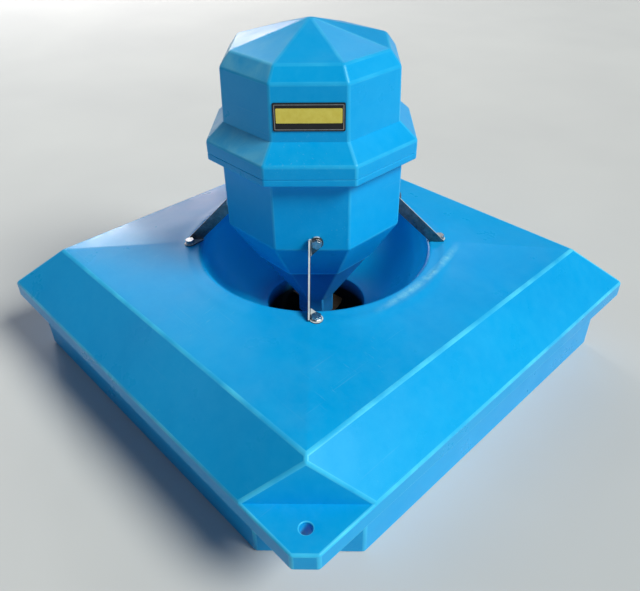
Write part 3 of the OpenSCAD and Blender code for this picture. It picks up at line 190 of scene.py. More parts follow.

# Colours of the polyethylene, of its wear, and of the light and shade painted on it
SEA_DARK, SEA_LIGHT, SEA_GRAIN_AND_HIGHLIGHT = (0.000, 0.340, 0.780), (0.000, 0.378, 0.830), (0.080, 0.660, 1.000)
BOWL_PAINTED_LIGHT, THROAT_SHADE, THROAT_SHADOW_BLACK = (0.0, 0.56, 1.0), (0.030, 0.09, 0.42), (0.006, 0.006, 0.006)
THROAT_BROWN, STREAK_HIGHLIGHT = (0.030, 0.020, 0.010), (0.24, 0.70, 0.92)
CONE_SHADE, STEP_HIGHLIGHT, LEFT_SHEEN = (0.025, 0.09, 0.30), (0.10, 0.70, 1.0), (0.30, 0.78, 0.92)
HAIR_PALE, SPECK_PALE, FILM_PALE = (0.16, 0.58, 0.86), (0.20, 0.62, 0.90), (0.40, 0.64, 0.72)
SKIN_TINT = (0.45, 0.82, 1.0, 1)


def bowl_tones(g, colour):
    """Painted light and shade in the bowl: a lighter blue inside it, shade painted darker down to near black
    in the throat with brown mottling in that shade, and a painted highlight streak along the rim's right side
    on a low bumped ridge.
    """
    x, y, z = g.parts(g.coords)
    reach = g.calc("SQRT", g.calc("ADD", g.times(x, x), g.times(y, y)))
    # Painted light: the inside of the bowl is lighter and bluer than the rest of the float
    inside = g.times(g.span(reach, BOWL_EDGE, BOWL_WALL), g.span(z, 0.004, 0.030))
    colour = g.mix(g.times(inside, 0.9), colour, BOWL_PAINTED_LIGHT)
    # Painted shade: the bowl darkens towards the throat, and the throat wall is painted near black as shadow,
    # with brown mottling laid in that shadow
    foot = g.times(g.span(reach, 0.165, 0.125), g.span(z, 0.175, 0.135))
    colour = g.mix(g.times(foot, 0.45), colour, THROAT_SHADE)
    throat_shadow = g.times(g.span(z, 0.124, 0.094), g.span(reach, THROAT_EDGE, THROAT_WALL))
    colour = g.mix(g.times(throat_shadow, 0.985), colour, THROAT_SHADOW_BLACK)
    throat_mottle = g.times(throat_shadow, g.span(g.noise(17, 5, 0.6), 0.5, 0.7, 0.0, 0.5))
    colour = g.mix(throat_mottle, colour, THROAT_BROWN)
    # Painted highlight: a pale streak along the rim's right side, on a low bumped ridge that follows the same
    # path
    angle = g.calc("ARCTAN2", y, x)
    spread = g.times(g.span(angle, -0.36, -0.10), g.span(angle, 0.80, 0.52))
    turned = g.calc("SUBTRACT", angle, STREAK_TURN)
    path = g.calc("ADD", STREAK_PATH, g.times(turned, turned, STREAK_CURVE))
    away = g.calc("ABSOLUTE", g.calc("SUBTRACT", reach, path))
    ridge_and_highlight = g.times(g.span(away, 0.0110, 0.001), g.times(spread, g.span(z, 0.20, 0.25)))
    ridge_and_highlight = g.times(ridge_and_highlight, g.span(g.noise(48, 4, 0.7), 0.36, 0.60, 0.25, 1.0))
    g.bump(ridge_and_highlight, 0.0012, 0.7)
    return g.mix(g.times(ridge_and_highlight, 0.85), colour, STREAK_HIGHLIGHT)


def cone_tones(g, colour, facing):
    """Painted shade on the cone under the step, a painted highlight line just above the step, and a painted
    sheen on slopes that face up and to the left.
    """
    z = g.parts(g.coords)[2]
    below = g.span(z, NECK_STEP, NECK_STEP - STEP_BLEND)
    colour = g.mix(g.times(below, 0.55), colour, CONE_SHADE)
    # Painted highlight along the step's edge
    band = g.times(g.span(z, 0.2935, 0.2905), g.span(z, NECK_STEP - STEP_BLEND, NECK_STEP))
    colour = g.mix(g.times(band, 0.9), colour, STEP_HIGHLIGHT)
    # Painted sheen on slopes that face up and to the left
    tilt = g.calc("ADD", g.times(facing[0], -0.35), g.times(facing[1], -0.62))
    tilt = g.span(g.calc("ADD", tilt, g.times(facing[2], 0.70)), 0.80, 0.92)
    left_sheen = g.times(tilt, g.span(g.noise(15, 5, 0.6, twist=0.5), 0.36, 0.62, 0.25, 0.95))
    return g.mix(g.times(left_sheen, 0.42), colour, LEFT_SHEEN)


def moulded(name, dark, light, edge, edge_highlight=0.0, bowl=False, cone=False):
    """Rotation-moulded polyethylene: cloudy colour, slow waves, orange peel, scuffs, a film of limescale, and
    where asked a painted highlight on edges and painted light and shade in the bowl or on the cone.
    """
    g = Graph(name)
    cloud = g.span(g.noise(3.1, 3, 0.55, twist=0.6), 0.34, 0.66)
    colour = g.mix(cloud, dark, light)
    grain = g.span(g.noise(46, 4, 0.65), 0.3, 0.7)
    colour = g.mix(g.times(grain, 0.08), colour, edge)
    # Painted highlight: the edge materials are lightened in patches towards the pale colour
    if edge_highlight:
        colour = g.mix(g.span(g.noise(14, 3, 0.5), 0.35, 0.65, edge_highlight * 0.5, edge_highlight * 1.5), colour, edge)
    where = g.span(g.noise(5.5, 2, 0.5), 0.50, 0.64)
    long_hairs = g.noise(1.0, 2, 0.5, coords=g.mapped((3.5, 330, 330), (0.4, 0.2, 0.9)))
    cross_hairs = g.noise(1.0, 2, 0.5, coords=g.mapped((330, 4.5, 330), (0.1, 0.5, -0.5)))
    hairs = g.calc("MAXIMUM", g.span(long_hairs, 0.66, 0.76), g.span(cross_hairs, 0.67, 0.77))
    hairs = g.times(hairs, where)
    colour = g.mix(g.times(hairs, 0.30), colour, HAIR_PALE)
    specks = g.span(g.cells(150, "Distance"), 0.0, 0.10, 1.0, 0.0)
    specks = g.times(specks, g.span(g.noise(9, 2, 0.5), 0.54, 0.66))
    colour = g.mix(g.times(specks, 0.35), colour, SPECK_PALE)
    facing = g.parts(g.add("ShaderNodeNewGeometry").outputs["Normal"])
    level = g.span(facing[2], 0.72, 1.0)
    film = g.times(level, g.span(g.noise(13, 5, 0.62), 0.42, 0.72, 0.0, 0.03))
    colour = g.mix(film, colour, FILM_PALE)
    rough = g.span(g.noise(11, 4, 0.6), 0.3, 0.7, 0.26, 0.38)
    if bowl:
        colour = bowl_tones(g, colour)
    if cone:
        colour = cone_tones(g, colour, facing)
    g.bump(g.noise(5.0, 2, 0.45), 0.0030, 0.8)
    g.bump(g.noise(20, 1, 0.4), 0.0004, 0.5)
    g.bump(g.noise(520, 2, 0.5), 0.00005, 0.7)
    rough = g.calc("ADD", rough, g.times(hairs, 0.12))
    return g.done(colour, rough, IOR=1.45, Specular_IOR_Level=0.30, Specular_Tint=SKIN_TINT)


def metal(name, low, high, rough=(0.3, 0.45), grain=60, spangle=0.0, spots=None, spot_share=0.0,
          bump=0.00006, scratches=0.3):
    """Bare or plated metal: cloudy tone, crystals or fine scratches, and spots where it has dulled."""
    g = Graph(name)
    colour = g.mix(g.span(g.noise(grain, 5, 0.62), 0.3, 0.7), low, high)
    if spangle:
        tone = g.parts(g.cells(spangle, "Color"))[0]
        colour = g.mix(g.times(tone, 0.55), colour, tuple(0.62 * c for c in low))
        fine = g.parts(g.cells(spangle * 2.7, "Color"))[1]
        colour = g.mix(g.times(fine, 0.25), colour, tuple(min(1.0, 1.18 * c) for c in high))
        g.bump(tone, 0.00012, 0.5)
    lines = g.noise(1.0, 4, 0.7, coords=g.mapped((900, 60, 220), (0.3, 0.1, 0.7)))
    lines = g.span(lines, 0.58, 0.72)
    colour = g.mix(g.times(lines, scratches), colour, high)
    dull = g.span(g.noise(85, 5, 0.65), 0.55, 0.72)
    if spots:
        colour = g.mix(g.times(dull, spot_share), colour, spots)
    base = g.span(g.noise(140, 4, 0.6), 0.3, 0.7, rough[0], rough[1])
    base = g.calc("ADD", base, g.times(dull, 0.12))
    g.bump(g.noise(700, 3, 0.6), bump, 0.8)
    g.bump(lines, bump * 0.5, 0.5)
    return g.done(colour, base, 1.0, Specular_IOR_Level=0.5)


def polymer(name, low, high, rough=(0.45, 0.6), grain=90, bump=0.0001, dust=0.08,
            dust_colour=(0.35, 0.34, 0.31)):
    """Plain moulded plastic, rubber or paint: grain, a little dust and patches of wear."""
    g = Graph(name)
    colour = g.mix(g.span(g.noise(grain, 5, 0.6), 0.3, 0.7), low, high)
    patches = g.span(g.noise(22, 5, 0.65), 0.48, 0.7)
    colour = g.mix(g.times(patches, dust), colour, dust_colour)
    g.bump(g.noise(900, 3, 0.6), bump, 0.8)
    g.bump(g.noise(60, 2, 0.5), bump * 2, 0.4)
    base = g.span(g.noise(45, 4, 0.6), 0.3, 0.7, rough[0], rough[1])
    return g.done(colour, g.calc("ADD", base, g.times(patches, 0.1)), 0.0, IOR=1.49)


float_skin = moulded("float_polyethylene", SEA_DARK, SEA_LIGHT, SEA_GRAIN_AND_HIGHLIGHT, bowl=True)
# Materials of the rounded edges, which carry a painted highlight
float_edge = moulded("float_polyethylene_edges", SEA_DARK, SEA_LIGHT, SEA_GRAIN_AND_HIGHLIGHT, edge_highlight=0.6)
case_skin = moulded("housing_polyethylene", SEA_DARK, SEA_LIGHT, SEA_GRAIN_AND_HIGHLIGHT, cone=True)
case_edge = moulded("housing_polyethylene_edges", SEA_DARK, SEA_LIGHT, SEA_GRAIN_AND_HIGHLIGHT, edge_highlight=0.2, cone=True)

finishes = {
    "float_blue": float_skin,
    "housing_blue": case_skin,
    "black_plastic": polymer("black_moulding", (0.016, 0.017, 0.019), (0.034, 0.035, 0.038), (0.42, 0.58)),
    "propeller_plastic": polymer("propeller_moulding", (0.030, 0.018, 0.008), (0.055, 0.034, 0.016),
        (0.4, 0.55), dust=0.1, dust_colour=(0.12, 0.10, 0.07)),
    "nylon": polymer("nylon_bush", (0.62, 0.60, 0.52), (0.72, 0.70, 0.63), (0.35, 0.5), dust=0.06),
    "rubber": polymer("soft_rubber", (0.018, 0.018, 0.018), (0.036, 0.036, 0.037), (0.62, 0.8), dust=0.12),
    "seal_rubber": polymer("seal_rubber", (0.012, 0.012, 0.013), (0.028, 0.028, 0.03), (0.5, 0.68),
        dust=0.05),
    "brass": metal("brass", (0.52, 0.34, 0.12), (0.72, 0.52, 0.22), (0.25, 0.4),
        spots=(0.2, 0.12, 0.05), spot_share=0.4),
    "copper": metal("enamelled_copper", (0.42, 0.15, 0.06), (0.62, 0.26, 0.11), (0.28, 0.42),
        grain=240, bump=0.0002),
    "zinc_steel": metal("bright_zinc", (0.40, 0.41, 0.42), (0.60, 0.61, 0.62), (0.24, 0.38),
        grain=150, spots=(0.30, 0.29, 0.27), spot_share=0.35),
    # Painted reflection: the bars' metal is kept dark, standing in for the dark surroundings it reflects
    "zinc_bar": metal("galvanised_bar_dark_reflection", (0.13, 0.13, 0.13), (0.27, 0.27, 0.275), (0.26, 0.40),
        spangle=120, spots=(0.20, 0.20, 0.20), spot_share=0.35, bump=0.0001),
    "plate_steel": metal("coated_plate", (0.36, 0.37, 0.38), (0.52, 0.53, 0.54), (0.36, 0.5),
        spangle=80, spots=(0.22, 0.2, 0.18), spot_share=0.3),
    "motor_paint": polymer("motor_paint", (0.055, 0.085, 0.095), (0.085, 0.12, 0.13), (0.34, 0.48),
        bump=0.00018, dust=0.14),
    "black_paint": polymer("black_paint", (0.014, 0.014, 0.015), (0.03, 0.03, 0.031), (0.32, 0.46),
        bump=0.00015, dust=0.16),
    "lamination_steel": metal("laminations", (0.22, 0.22, 0.23), (0.36, 0.36, 0.37), (0.4, 0.55),
        grain=300, spots=(0.14, 0.08, 0.05), spot_share=0.4),
    "rotor_aluminium": metal("cast_aluminium", (0.52, 0.53, 0.54), (0.70, 0.71, 0.72), (0.38, 0.52),
        grain=120, bump=0.0002),
    "bearing_steel": metal("bearing_steel", (0.60, 0.60, 0.60), (0.78, 0.78, 0.78), (0.08, 0.18),
        grain=90, scratches=0.2),
    "shaft_steel": metal("ground_steel", (0.42, 0.42, 0.43), (0.60, 0.60, 0.61), (0.2, 0.32),
        grain=200, spots=(0.22, 0.14, 0.09), spot_share=0.2),
    "stainless_steel": metal("stainless_steel", (0.55, 0.55, 0.55), (0.72, 0.72, 0.71), (0.16, 0.28),
        grain=200),
    "nameplate_black": polymer("plate_black", (0.003, 0.003, 0.004), (0.007, 0.007, 0.008), (0.42, 0.52),
        dust=0.01),
}
plate_silver = metal("plate_line", (0.26, 0.26, 0.27), (0.42, 0.42, 0.43), (0.3, 0.42), grain=160)
plate_yellow = polymer("plate_panel", (0.72, 0.58, 0.07), (0.80, 0.68, 0.12), (0.3, 0.42),
    dust=0.05, dust_colour=(0.5, 0.42, 0.2))


class Build:
    """A mesh in millimetres that becomes an object in metres."""

    def __init__(self):
        self.mesh = bmesh.new()

    def loop(self, points):
        return [self.mesh.verts.new(Vector(p) * MM) for p in points]

    def point(self, place):
        return self.loop([place])[0]

    def face(self, corners, slot=0):
        self.mesh.faces.new(corners).material_index = slot

    def band(self, a, b, slot=0):
        for i in range(len(a)):
            j = (i + 1) % len(a)
            self.face([a[i], a[j], b[j], b[i]], slot)

    def skin(self, rings):
        for a, b in zip(rings, rings[1:]):
            self.band(a, b)

    def fill(self, loops):
        """Triangles between an outline and the holes in it."""
        edges = []
        for ring in loops:
            for v, w in zip(ring, ring[1:] + ring[:1]):
                edges.append(self.mesh.edges.get((v, w)) or self.mesh.edges.new((v, w)))
        bmesh.ops.triangle_fill(self.mesh, use_beauty=True, use_dissolve=False, edges=edges)

    def round(self, edges, width, segments, slot):
        bmesh.ops.bevel(
            self.mesh, geom=edges, offset=width * MM, offset_type="OFFSET", segments=segments, profile=0.5,
            affect="EDGES", clamp_overlap=True, material=slot)

    def sharp(self, degrees, test):
        """Outer edges that turn by more than the given angle and pass the test."""
        self.mesh.normal_update()
        limit = math.radians(degrees)
        return [e for e in self.mesh.edges if len(e.link_faces) == 2 and e.calc_face_angle(0) > limit
                and e.is_convex and test(e)]

    def finish(self, name, materials, body, smooth=32, weld=0.00002):
        bmesh.ops.remove_doubles(self.mesh, verts=self.mesh.verts, dist=weld)
        bmesh.ops.recalc_face_normals(self.mesh, faces=self.mesh.faces)
        data = bpy.data.meshes.new(name)
        self.mesh.to_mesh(data)
        self.mesh.free()
        for m in materials:
            data.materials.append(m)
        data.shade_smooth()
        data.set_sharp_from_angle(angle=math.radians(smooth))
        thing = bpy.data.objects.new(name, data)
        bpy.context.scene.collection.objects.link(thing)
        even = thing.modifiers.new("even_normals", "WEIGHTED_NORMAL")
        even.keep_sharp = True
        even.weight = 80
        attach(thing, body)
        return thing


def circle(r, z, centre=(0, 0), count=96):
    angles = [math.tau * i / count for i in range(count)]
    return [(centre[0] + r * math.cos(a), centre[1] + r * math.sin(a), z) for a in angles]


# Float: square skirt, bevel, deck rising to the round rim, bowl and throat
HALF, DECK_HALF, HULL_HALF = 500.0, 406.6, 468.5
LIP_LOW, LIP_TOP, DECK_LOW, DECK_TOP = 145.5, 184.5, 275.2, 297.7
RIM_R, RIM_ROUND = 257.37, 10.0
ARC_R, ARC_CENTRE_R, ARC_CENTRE_Z = 236.75, 18.02, 346.42
ARC_TOP, ARC_FOOT = -14.36, -64.88
THROAT_R = 114.0
GUARD_R, GUARD_TOP, MOUTH_R = 130.0, 26.0, 132.0
APEX_REACH, APEX_Z = 413.6, 268.4
TAB_FOOT, TAB_NOSE = 345.0, 469.4
MOOR_REACH, MOOR_R = 452.55, 10.5
KEEL_CUT = 331.9
VENT_REACH, VENT_R, VENT_DEPTH = 330.0, 14.5, 5.0
SWELL_HEIGHT, SWELL_OUT, SWELL_WIDTH = 1.7, 27, 10
SWELL_LEAST, SWELL_MORE, LIT_TURN, LIT_SPREAD = 0.55, 0.9, 18, 42
FLOAT_ROUND = 4.6
EDGE_SLOT = 1
raft = Build()
signs = [(1, 1), (-1, 1), (-1, -1), (1, -1)]


def corner_point(q, half, z):
    return (signs[q][0] * half, signs[q][1] * half, z)


def swell(x, y, share):
    """A low wave in the deck outside the rim, strongest on the side that catches the light."""
    out = math.hypot(x, y) - RIM_R
    angle = math.degrees(math.atan2(y, x))
    side = SWELL_LEAST + SWELL_MORE * math.exp(-((angle - LIT_TURN) / LIT_SPREAD) ** 2)
    return side * SWELL_HEIGHT * math.exp(-((out - SWELL_OUT) / SWELL_WIDTH) ** 2) * min(1.0, share * 4)


# Each side of the deck is ruled from its straight ridge to a quarter of the rim, which creases the diagonals.
# The turns lie closer at the diagonals, and the shares of the way lie closer at the rim.
half_turns = [0, 0.7, 2.2, 4.5, 7.5] + [11.25 + 3.75 * i for i in range(10)]
side_turns = [a - 45 for a in half_turns] + [45 - a for a in reversed(half_turns[:-1])]
turns = [90 * q + a for q in range(4) for a in side_turns[:-1]]
shares = [0, 0.07, 0.15, 0.26, 0.40, 0.52, 0.62, 0.70, 0.76, 0.80, 0.835, 0.865, 0.89, 0.91, 0.93, 0.955,
          0.98, 1.0]


def deck_ring(share):
    ring = []
    for q in range(4):
        for a in side_turns[:-1]:
            edge = Vector((DECK_HALF, DECK_HALF * a / 45))
            arc = Vector((RIM_R * math.cos(math.radians(a)), RIM_R * math.sin(math.radians(a))))
            x, y = Matrix.Rotation(math.radians(90 * q), 2) @ (edge * (1 - share) + arc * share)
            ring.append((x, y, DECK_LOW + (DECK_TOP - DECK_LOW) * share + swell(x, y, share)))
    return raft.loop(ring)


rings = [deck_ring(share) for share in shares]
# Corners of the ridge in the order right, back, left, front, and the points between them
per_side = len(side_turns) - 1
ridge = {q: rings[0][(q + 1) * per_side % len(turns)] for q in range(4)}


def ridge_between(q):
    """Points of the ridge strictly between corner q and the next one."""
    start = (q + 1) * per_side
    return [rings[0][(start + k) % len(turns)] for k in range(1, per_side)]


def lathe_ring(r, z):
    return raft.loop([(r * math.cos(math.radians(a)), r * math.sin(math.radians(a)), z) for a in turns])


arc_angles = [math.radians(ARC_TOP + (ARC_FOOT - ARC_TOP) * i / 16) for i in range(17)]
profile = [(RIM_R - RIM_ROUND * math.sin(a), DECK_TOP - RIM_ROUND + RIM_ROUND * math.cos(a))
           for a in [math.radians(d) for d in (12, 25, 38, 51, 64, 78)]]
profile += [(ARC_CENTRE_R + ARC_R * math.cos(a), ARC_CENTRE_Z + ARC_R * math.sin(a)) for a in arc_angles]
# Rounded lip of the throat, its wall, and the recess that holds the guard
profile += [(THROAT_R + 1.6, 130.9), (THROAT_R + 0.5, 129.5), (THROAT_R, 127.2), (THROAT_R, 90.0),
            (THROAT_R, 55.0), (THROAT_R, GUARD_TOP + 1.5), (THROAT_R + 0.6, GUARD_TOP + 0.2),
            (THROAT_R + 2.0, GUARD_TOP), (GUARD_R, GUARD_TOP), (GUARD_R, 1.6), (GUARD_R + 0.6, 0.4),
            (MOUTH_R, 0.0)]
rings += [lathe_ring(r, z) for r, z in profile]
raft.skin(rings)

# Lip: plain corners at the right and left, and mooring tabs at the back and front
corner, apex, foot_a, foot_b, nose_a, nose_b = {}, {}, {}, {}, {}, {}
low_corner, low_nose_a, low_nose_b = {}, {}, {}


def swing(q, x, y, z):
    """A point given for the front corner, brought to corner q, which is the front one or the back one."""
    return (x, y, z) if q == 3 else (-x, -y, z)


for q in (0, 2):
    corner[q] = raft.point(corner_point(q, HALF, LIP_TOP))
    low_corner[q] = raft.point(corner_point(q, HALF, LIP_LOW))
for q in (1, 3):
    apex[q] = raft.point(swing(q, APEX_REACH, -APEX_REACH, APEX_Z))
    foot_a[q], foot_b[q] = raft.loop([swing(q, TAB_FOOT, -HALF, LIP_TOP), swing(q, HALF, -TAB_FOOT, LIP_TOP)])
    nose_a[q], nose_b[q] = raft.loop([swing(q, TAB_NOSE, -HALF, LIP_TOP), swing(q, HALF, -TAB_NOSE, LIP_TOP)])
    low_nose_a[q], low_nose_b[q] = raft.loop(
        [swing(q, TAB_NOSE, -HALF, LIP_LOW), swing(q, HALF, -TAB_NOSE, LIP_LOW)])
for plain, tab in ((0, 1), (2, 3)):
    raft.face([corner[plain], foot_a[tab], apex[tab], ridge[tab]] + ridge_between(plain)[::-1]
              + [ridge[plain]])
    raft.face([corner[plain], foot_a[tab], nose_a[tab], low_nose_a[tab], low_corner[plain]])
for tab, plain in ((1, 2), (3, 0)):
    raft.face([foot_b[tab], corner[plain], ridge[plain]] + ridge_between(tab)[::-1] + [ridge[tab], apex[tab]])
    raft.face([nose_b[tab], foot_b[tab], corner[plain], low_corner[plain], low_nose_b[tab]])
    raft.face([foot_a[tab], foot_b[tab], apex[tab]])
    raft.face([nose_a[tab], nose_b[tab], low_nose_b[tab], low_nose_a[tab]])

moor_loops_low = []
for q in (1, 3):
    centre = swing(q, MOOR_REACH, -MOOR_REACH, 0)[:2]
    mouth = [(MOOR_R + 2.4, LIP_TOP), (MOOR_R + 1.4, LIP_TOP - 0.35), (MOOR_R + 0.5, LIP_TOP - 1.2),
             (MOOR_R, LIP_TOP - 2.4), (MOOR_R, LIP_LOW + 2.0), (MOOR_R + 0.6, LIP_LOW + 0.6),
             (MOOR_R + 2.0, LIP_LOW)]
    hoops = [raft.loop(circle(r, z, centre, 40)) for r, z in mouth]
    for upper, lower in zip(hoops, hoops[1:]):
        raft.band(upper, lower, EDGE_SLOT if upper in hoops[:2] else 0)
    raft.fill([[foot_a[q], nose_a[q], nose_b[q], foot_b[q]], hoops[0]])
    moor_loops_low.append(hoops[-1])


def hull_ring(z):
    """The hull's outline, from the right corner by way of the back, with the two tabs' corners cut."""
    places = []
    for plain, tab in ((0, 1), (2, 3)):
        places.append(corner_point(plain, HULL_HALF, z))
        places += [swing(tab, KEEL_CUT, -HULL_HALF, z), swing(tab, HULL_HALF, -KEEL_CUT, z)]
    return raft.loop(places)


hull_top, hull_low = hull_ring(LIP_LOW), hull_ring(0)
raft.band(hull_top, hull_low)
lip_loop = [low_corner[0], low_nose_a[1], low_nose_b[1], low_corner[2], low_nose_a[3], low_nose_b[3]]
raft.fill([lip_loop, hull_top] + moor_loops_low)

vent = (VENT_REACH * math.cos(BACK), VENT_REACH * math.sin(BACK))
vent_wall = [(VENT_R + 1.1, 0), (VENT_R + 0.3, 0.3), (VENT_R, 1.1), (VENT_R, VENT_DEPTH)]
vent_rings = [raft.loop(circle(r, z, vent, 40)) for r, z in vent_wall]
raft.skin(vent_rings)
raft.face(vent_rings[-1])
bmesh.ops.remove_doubles(raft.mesh, verts=raft.mesh.verts, dist=JOIN_GAP)
throat_loop = [v for v in raft.mesh.verts
               if abs(v.co.z) < JOIN_GAP and abs(v.co.xy.length - MOUTH_R * MM) < JOIN_GAP]
throat_loop.sort(key=lambda v: math.atan2(v.co.y, v.co.x))
raft.fill([hull_low, throat_loop, vent_rings[0]])
bmesh.ops.recalc_face_normals(raft.mesh, faces=raft.mesh.faces)

# Edges nearer than this to the axis, low down near the guard, or near a mooring hole stay as they are
BOWL_KEEP, RECESS_KEEP, RECESS_TOP, MOOR_KEEP = 300, 360, 100, 20


def on_outside(e):
    """An edge of the deck, bevel, lip or hull, away from the bowl, the guard's recess and the moorings."""
    for v in e.verts:
        reach, z = v.co.xy.length / MM, v.co.z / MM
        if reach <= BOWL_KEEP or (reach <= RECESS_KEEP and z <= RECESS_TOP):
            return False
        if any((v.co.xy / MM - Vector((s, -s)) * MOOR_REACH).length < MOOR_KEEP for s in (1, -1)):
            return False
    return True


raft.round(raft.sharp(18, on_outside), FLOAT_ROUND, 3, EDGE_SLOT)
float_moulding = raft.finish("float_moulding", [float_skin, float_edge], "float_frame")
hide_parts("float_shell")


# Eight-sided housing and cap
def octagon(build, half, z):
    r = half / math.cos(math.radians(22.5))
    corners = [math.radians(22.5 + 45 * k) for k in range(8)]
    return build.loop([(r * math.cos(a), r * math.sin(a), z) for a in corners])


# Half widths across the flats and heights of the housing, then what is inside it
NECK_HALF, NECK_FOOT, NECK_HEAD = 39.3, 115, 161
STEP_IN, STEP_OUT, STEP_Z = 116.5, 119, 289.5
WALL_HALF, WALL_FOOT, FLANGE_Z = 173.7, 384.4, 532
FLANGE_HALF, FLANGE_TOP = 199.4, 546
SPIGOT_HALF, SPIGOT_IN, SPIGOT_TOP, SPIGOT_FLOOR = 190.4, 186.4, 560, 541
LINING_HALF, LEDGE_R, LEDGE_TOP, LEDGE_FOOT = 168.7, 118, 389.4, 377.4
CONE_IN, STEP_OUT_IN, STEP_IN_IN = 163.9, 113.2, 110.7
NECK_IN, NECK_FLOOR, BORE_R = 36.5, 166, 17.05
CASE_ROUND, FLANGE_ROUND = 3.4, 1.6
case = Build()
outside = [(NECK_HALF, NECK_FOOT), (NECK_HALF, NECK_HEAD), (STEP_IN, STEP_Z), (STEP_OUT, STEP_Z),
           (WALL_HALF, WALL_FOOT), (WALL_HALF, FLANGE_Z), (FLANGE_HALF, FLANGE_Z), (FLANGE_HALF, FLANGE_TOP),
           (SPIGOT_HALF, FLANGE_TOP), (SPIGOT_HALF, SPIGOT_TOP), (SPIGOT_IN, SPIGOT_TOP),
           (SPIGOT_IN, SPIGOT_FLOOR), (LINING_HALF, SPIGOT_FLOOR), (LINING_HALF, LEDGE_TOP)]
under_ledge = [(CONE_IN, LEDGE_FOOT), (STEP_OUT_IN, STEP_Z), (STEP_IN_IN, STEP_Z), (NECK_IN, NECK_FLOOR)]
shell = [octagon(case, half, z) for half, z in outside]
case.skin(shell)
ledge = [case.loop(circle(LEDGE_R, z)) for z in (LEDGE_TOP, LEDGE_FOOT)]
case.fill([shell[-1], ledge[0]])
case.skin(ledge)
inner = [octagon(case, half, z) for half, z in under_ledge]
case.fill([ledge[1], inner[0]])
case.skin(inner)
bore = [case.loop(circle(BORE_R, z, count=48)) for z in (NECK_FLOOR, NECK_FOOT)]
case.fill([inner[-1], bore[0]])
case.skin(bore)
case.fill([bore[1], shell[0]])
bmesh.ops.recalc_face_normals(case.mesh, faces=case.mesh.faces)

# These edges stay sharp: nearer the axis than the bore's reach, in the lining, which is above a height and
# within a reach, and on a joint, apart from the outer edge of the flange and of the cap's foot
BORE_REACH, FLANGE_REACH, CAP_REACH = 36, 195, 197
LINING_EDGES = ((LEDGE_FOOT - 0.9, 184), (SPIGOT_FLOOR - 0.5, 206.5))
JOINTS = (NECK_FLOOR, STEP_Z, LEDGE_FOOT, LEDGE_TOP, SPIGOT_FLOOR, FLANGE_TOP, SPIGOT_TOP)


def reach_of(e):
    """Distance from the axis to the middle of an edge."""
    return ((e.verts[0].co + e.verts[1].co) / 2).xy.length / MM


def at(e, z, slack=0.4):
    return all(abs(v.co.z / MM - z) < slack for v in e.verts)


def on_housing(e):
    """An outer edge of the housing that isn't on a joint, the flange's mouth or the inside."""
    lowest = min(v.co.z for v in e.verts) / MM
    widest = max(v.co.xy.length for v in e.verts) / MM
    inside = any(lowest > height and widest < reach for height, reach in LINING_EDGES)
    return reach_of(e) > BORE_REACH and not inside and not any(at(e, z) for z in JOINTS)


case.round(case.sharp(10, on_housing), CASE_ROUND, 3, EDGE_SLOT)
flange_edge = case.sharp(30, lambda e: at(e, FLANGE_TOP) and reach_of(e) > FLANGE_REACH)
case.round(flange_edge, FLANGE_ROUND, 2, EDGE_SLOT)
housing_moulding = case.finish("housing_moulding", [case_skin, case_edge], "float_frame")
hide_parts("motor_housing")

# Cap: half widths and heights of its outside, then how far its lining lies inward of that and below it
CAP_FOOT, EAVES_Z = 546.05, 571.05
CAP_LOW_HALF, CAP_LOW_Z = 165.7, 603.05
CAP_HIGH_HALF, CAP_HIGH_Z = 162.9, 704.05
ROOF_HALF, ROOF_Z = 143.1, 731.05
PEAK_Z, LINING_PEAK_Z = 773.35, 769.2
CAP_ROUND, CAP_FOOT_ROUND = 3.8, 1.8
lid = Build()
cap_out = [(FLANGE_HALF, CAP_FOOT), (FLANGE_HALF, EAVES_Z), (CAP_LOW_HALF, CAP_LOW_Z),
           (CAP_HIGH_HALF, CAP_HIGH_Z), (ROOF_HALF, ROOF_Z)]
cap_wall = [(4.0, 0), (4.0, 1.45), (4.0, 1.45), (3.95, 2.05), (2.2, 2.45)]
cap_in = [(half - inward, z - down) for (half, z), (inward, down) in zip(cap_out, cap_wall)]
shell = [octagon(lid, half, z) for half, z in cap_out]
lining = [octagon(lid, half, z) for half, z in cap_in]
peak, lining_peak = lid.loop([(0, 0, PEAK_Z), (0, 0, LINING_PEAK_Z)])
for walls, top in ((shell, peak), (lining, lining_peak)):
    lid.skin(walls)
    for i in range(8):
        lid.face([walls[-1][i], walls[-1][(i + 1) % 8], top])
lid.band(lining[0], shell[0])
bmesh.ops.recalc_face_normals(lid.mesh, faces=lid.mesh.faces)
lid.mesh.verts.index_update()
shell_ids = {v.index for ring in shell for v in ring} | {peak.index}


def on_shell(e):
    return all(v.index in shell_ids for v in e.verts)


lid.round(lid.sharp(8, lambda e: on_shell(e) and not at(e, CAP_FOOT)), CAP_ROUND, 3, EDGE_SLOT)
foot_edge = lid.sharp(30, lambda e: at(e, CAP_FOOT) and reach_of(e) > CAP_REACH)
lid.round(foot_edge, CAP_FOOT_ROUND, 2, EDGE_SLOT)
cap_moulding = lid.finish("cap_moulding", [case_skin, case_edge], "cap", smooth=30)
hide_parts("motor_cap")

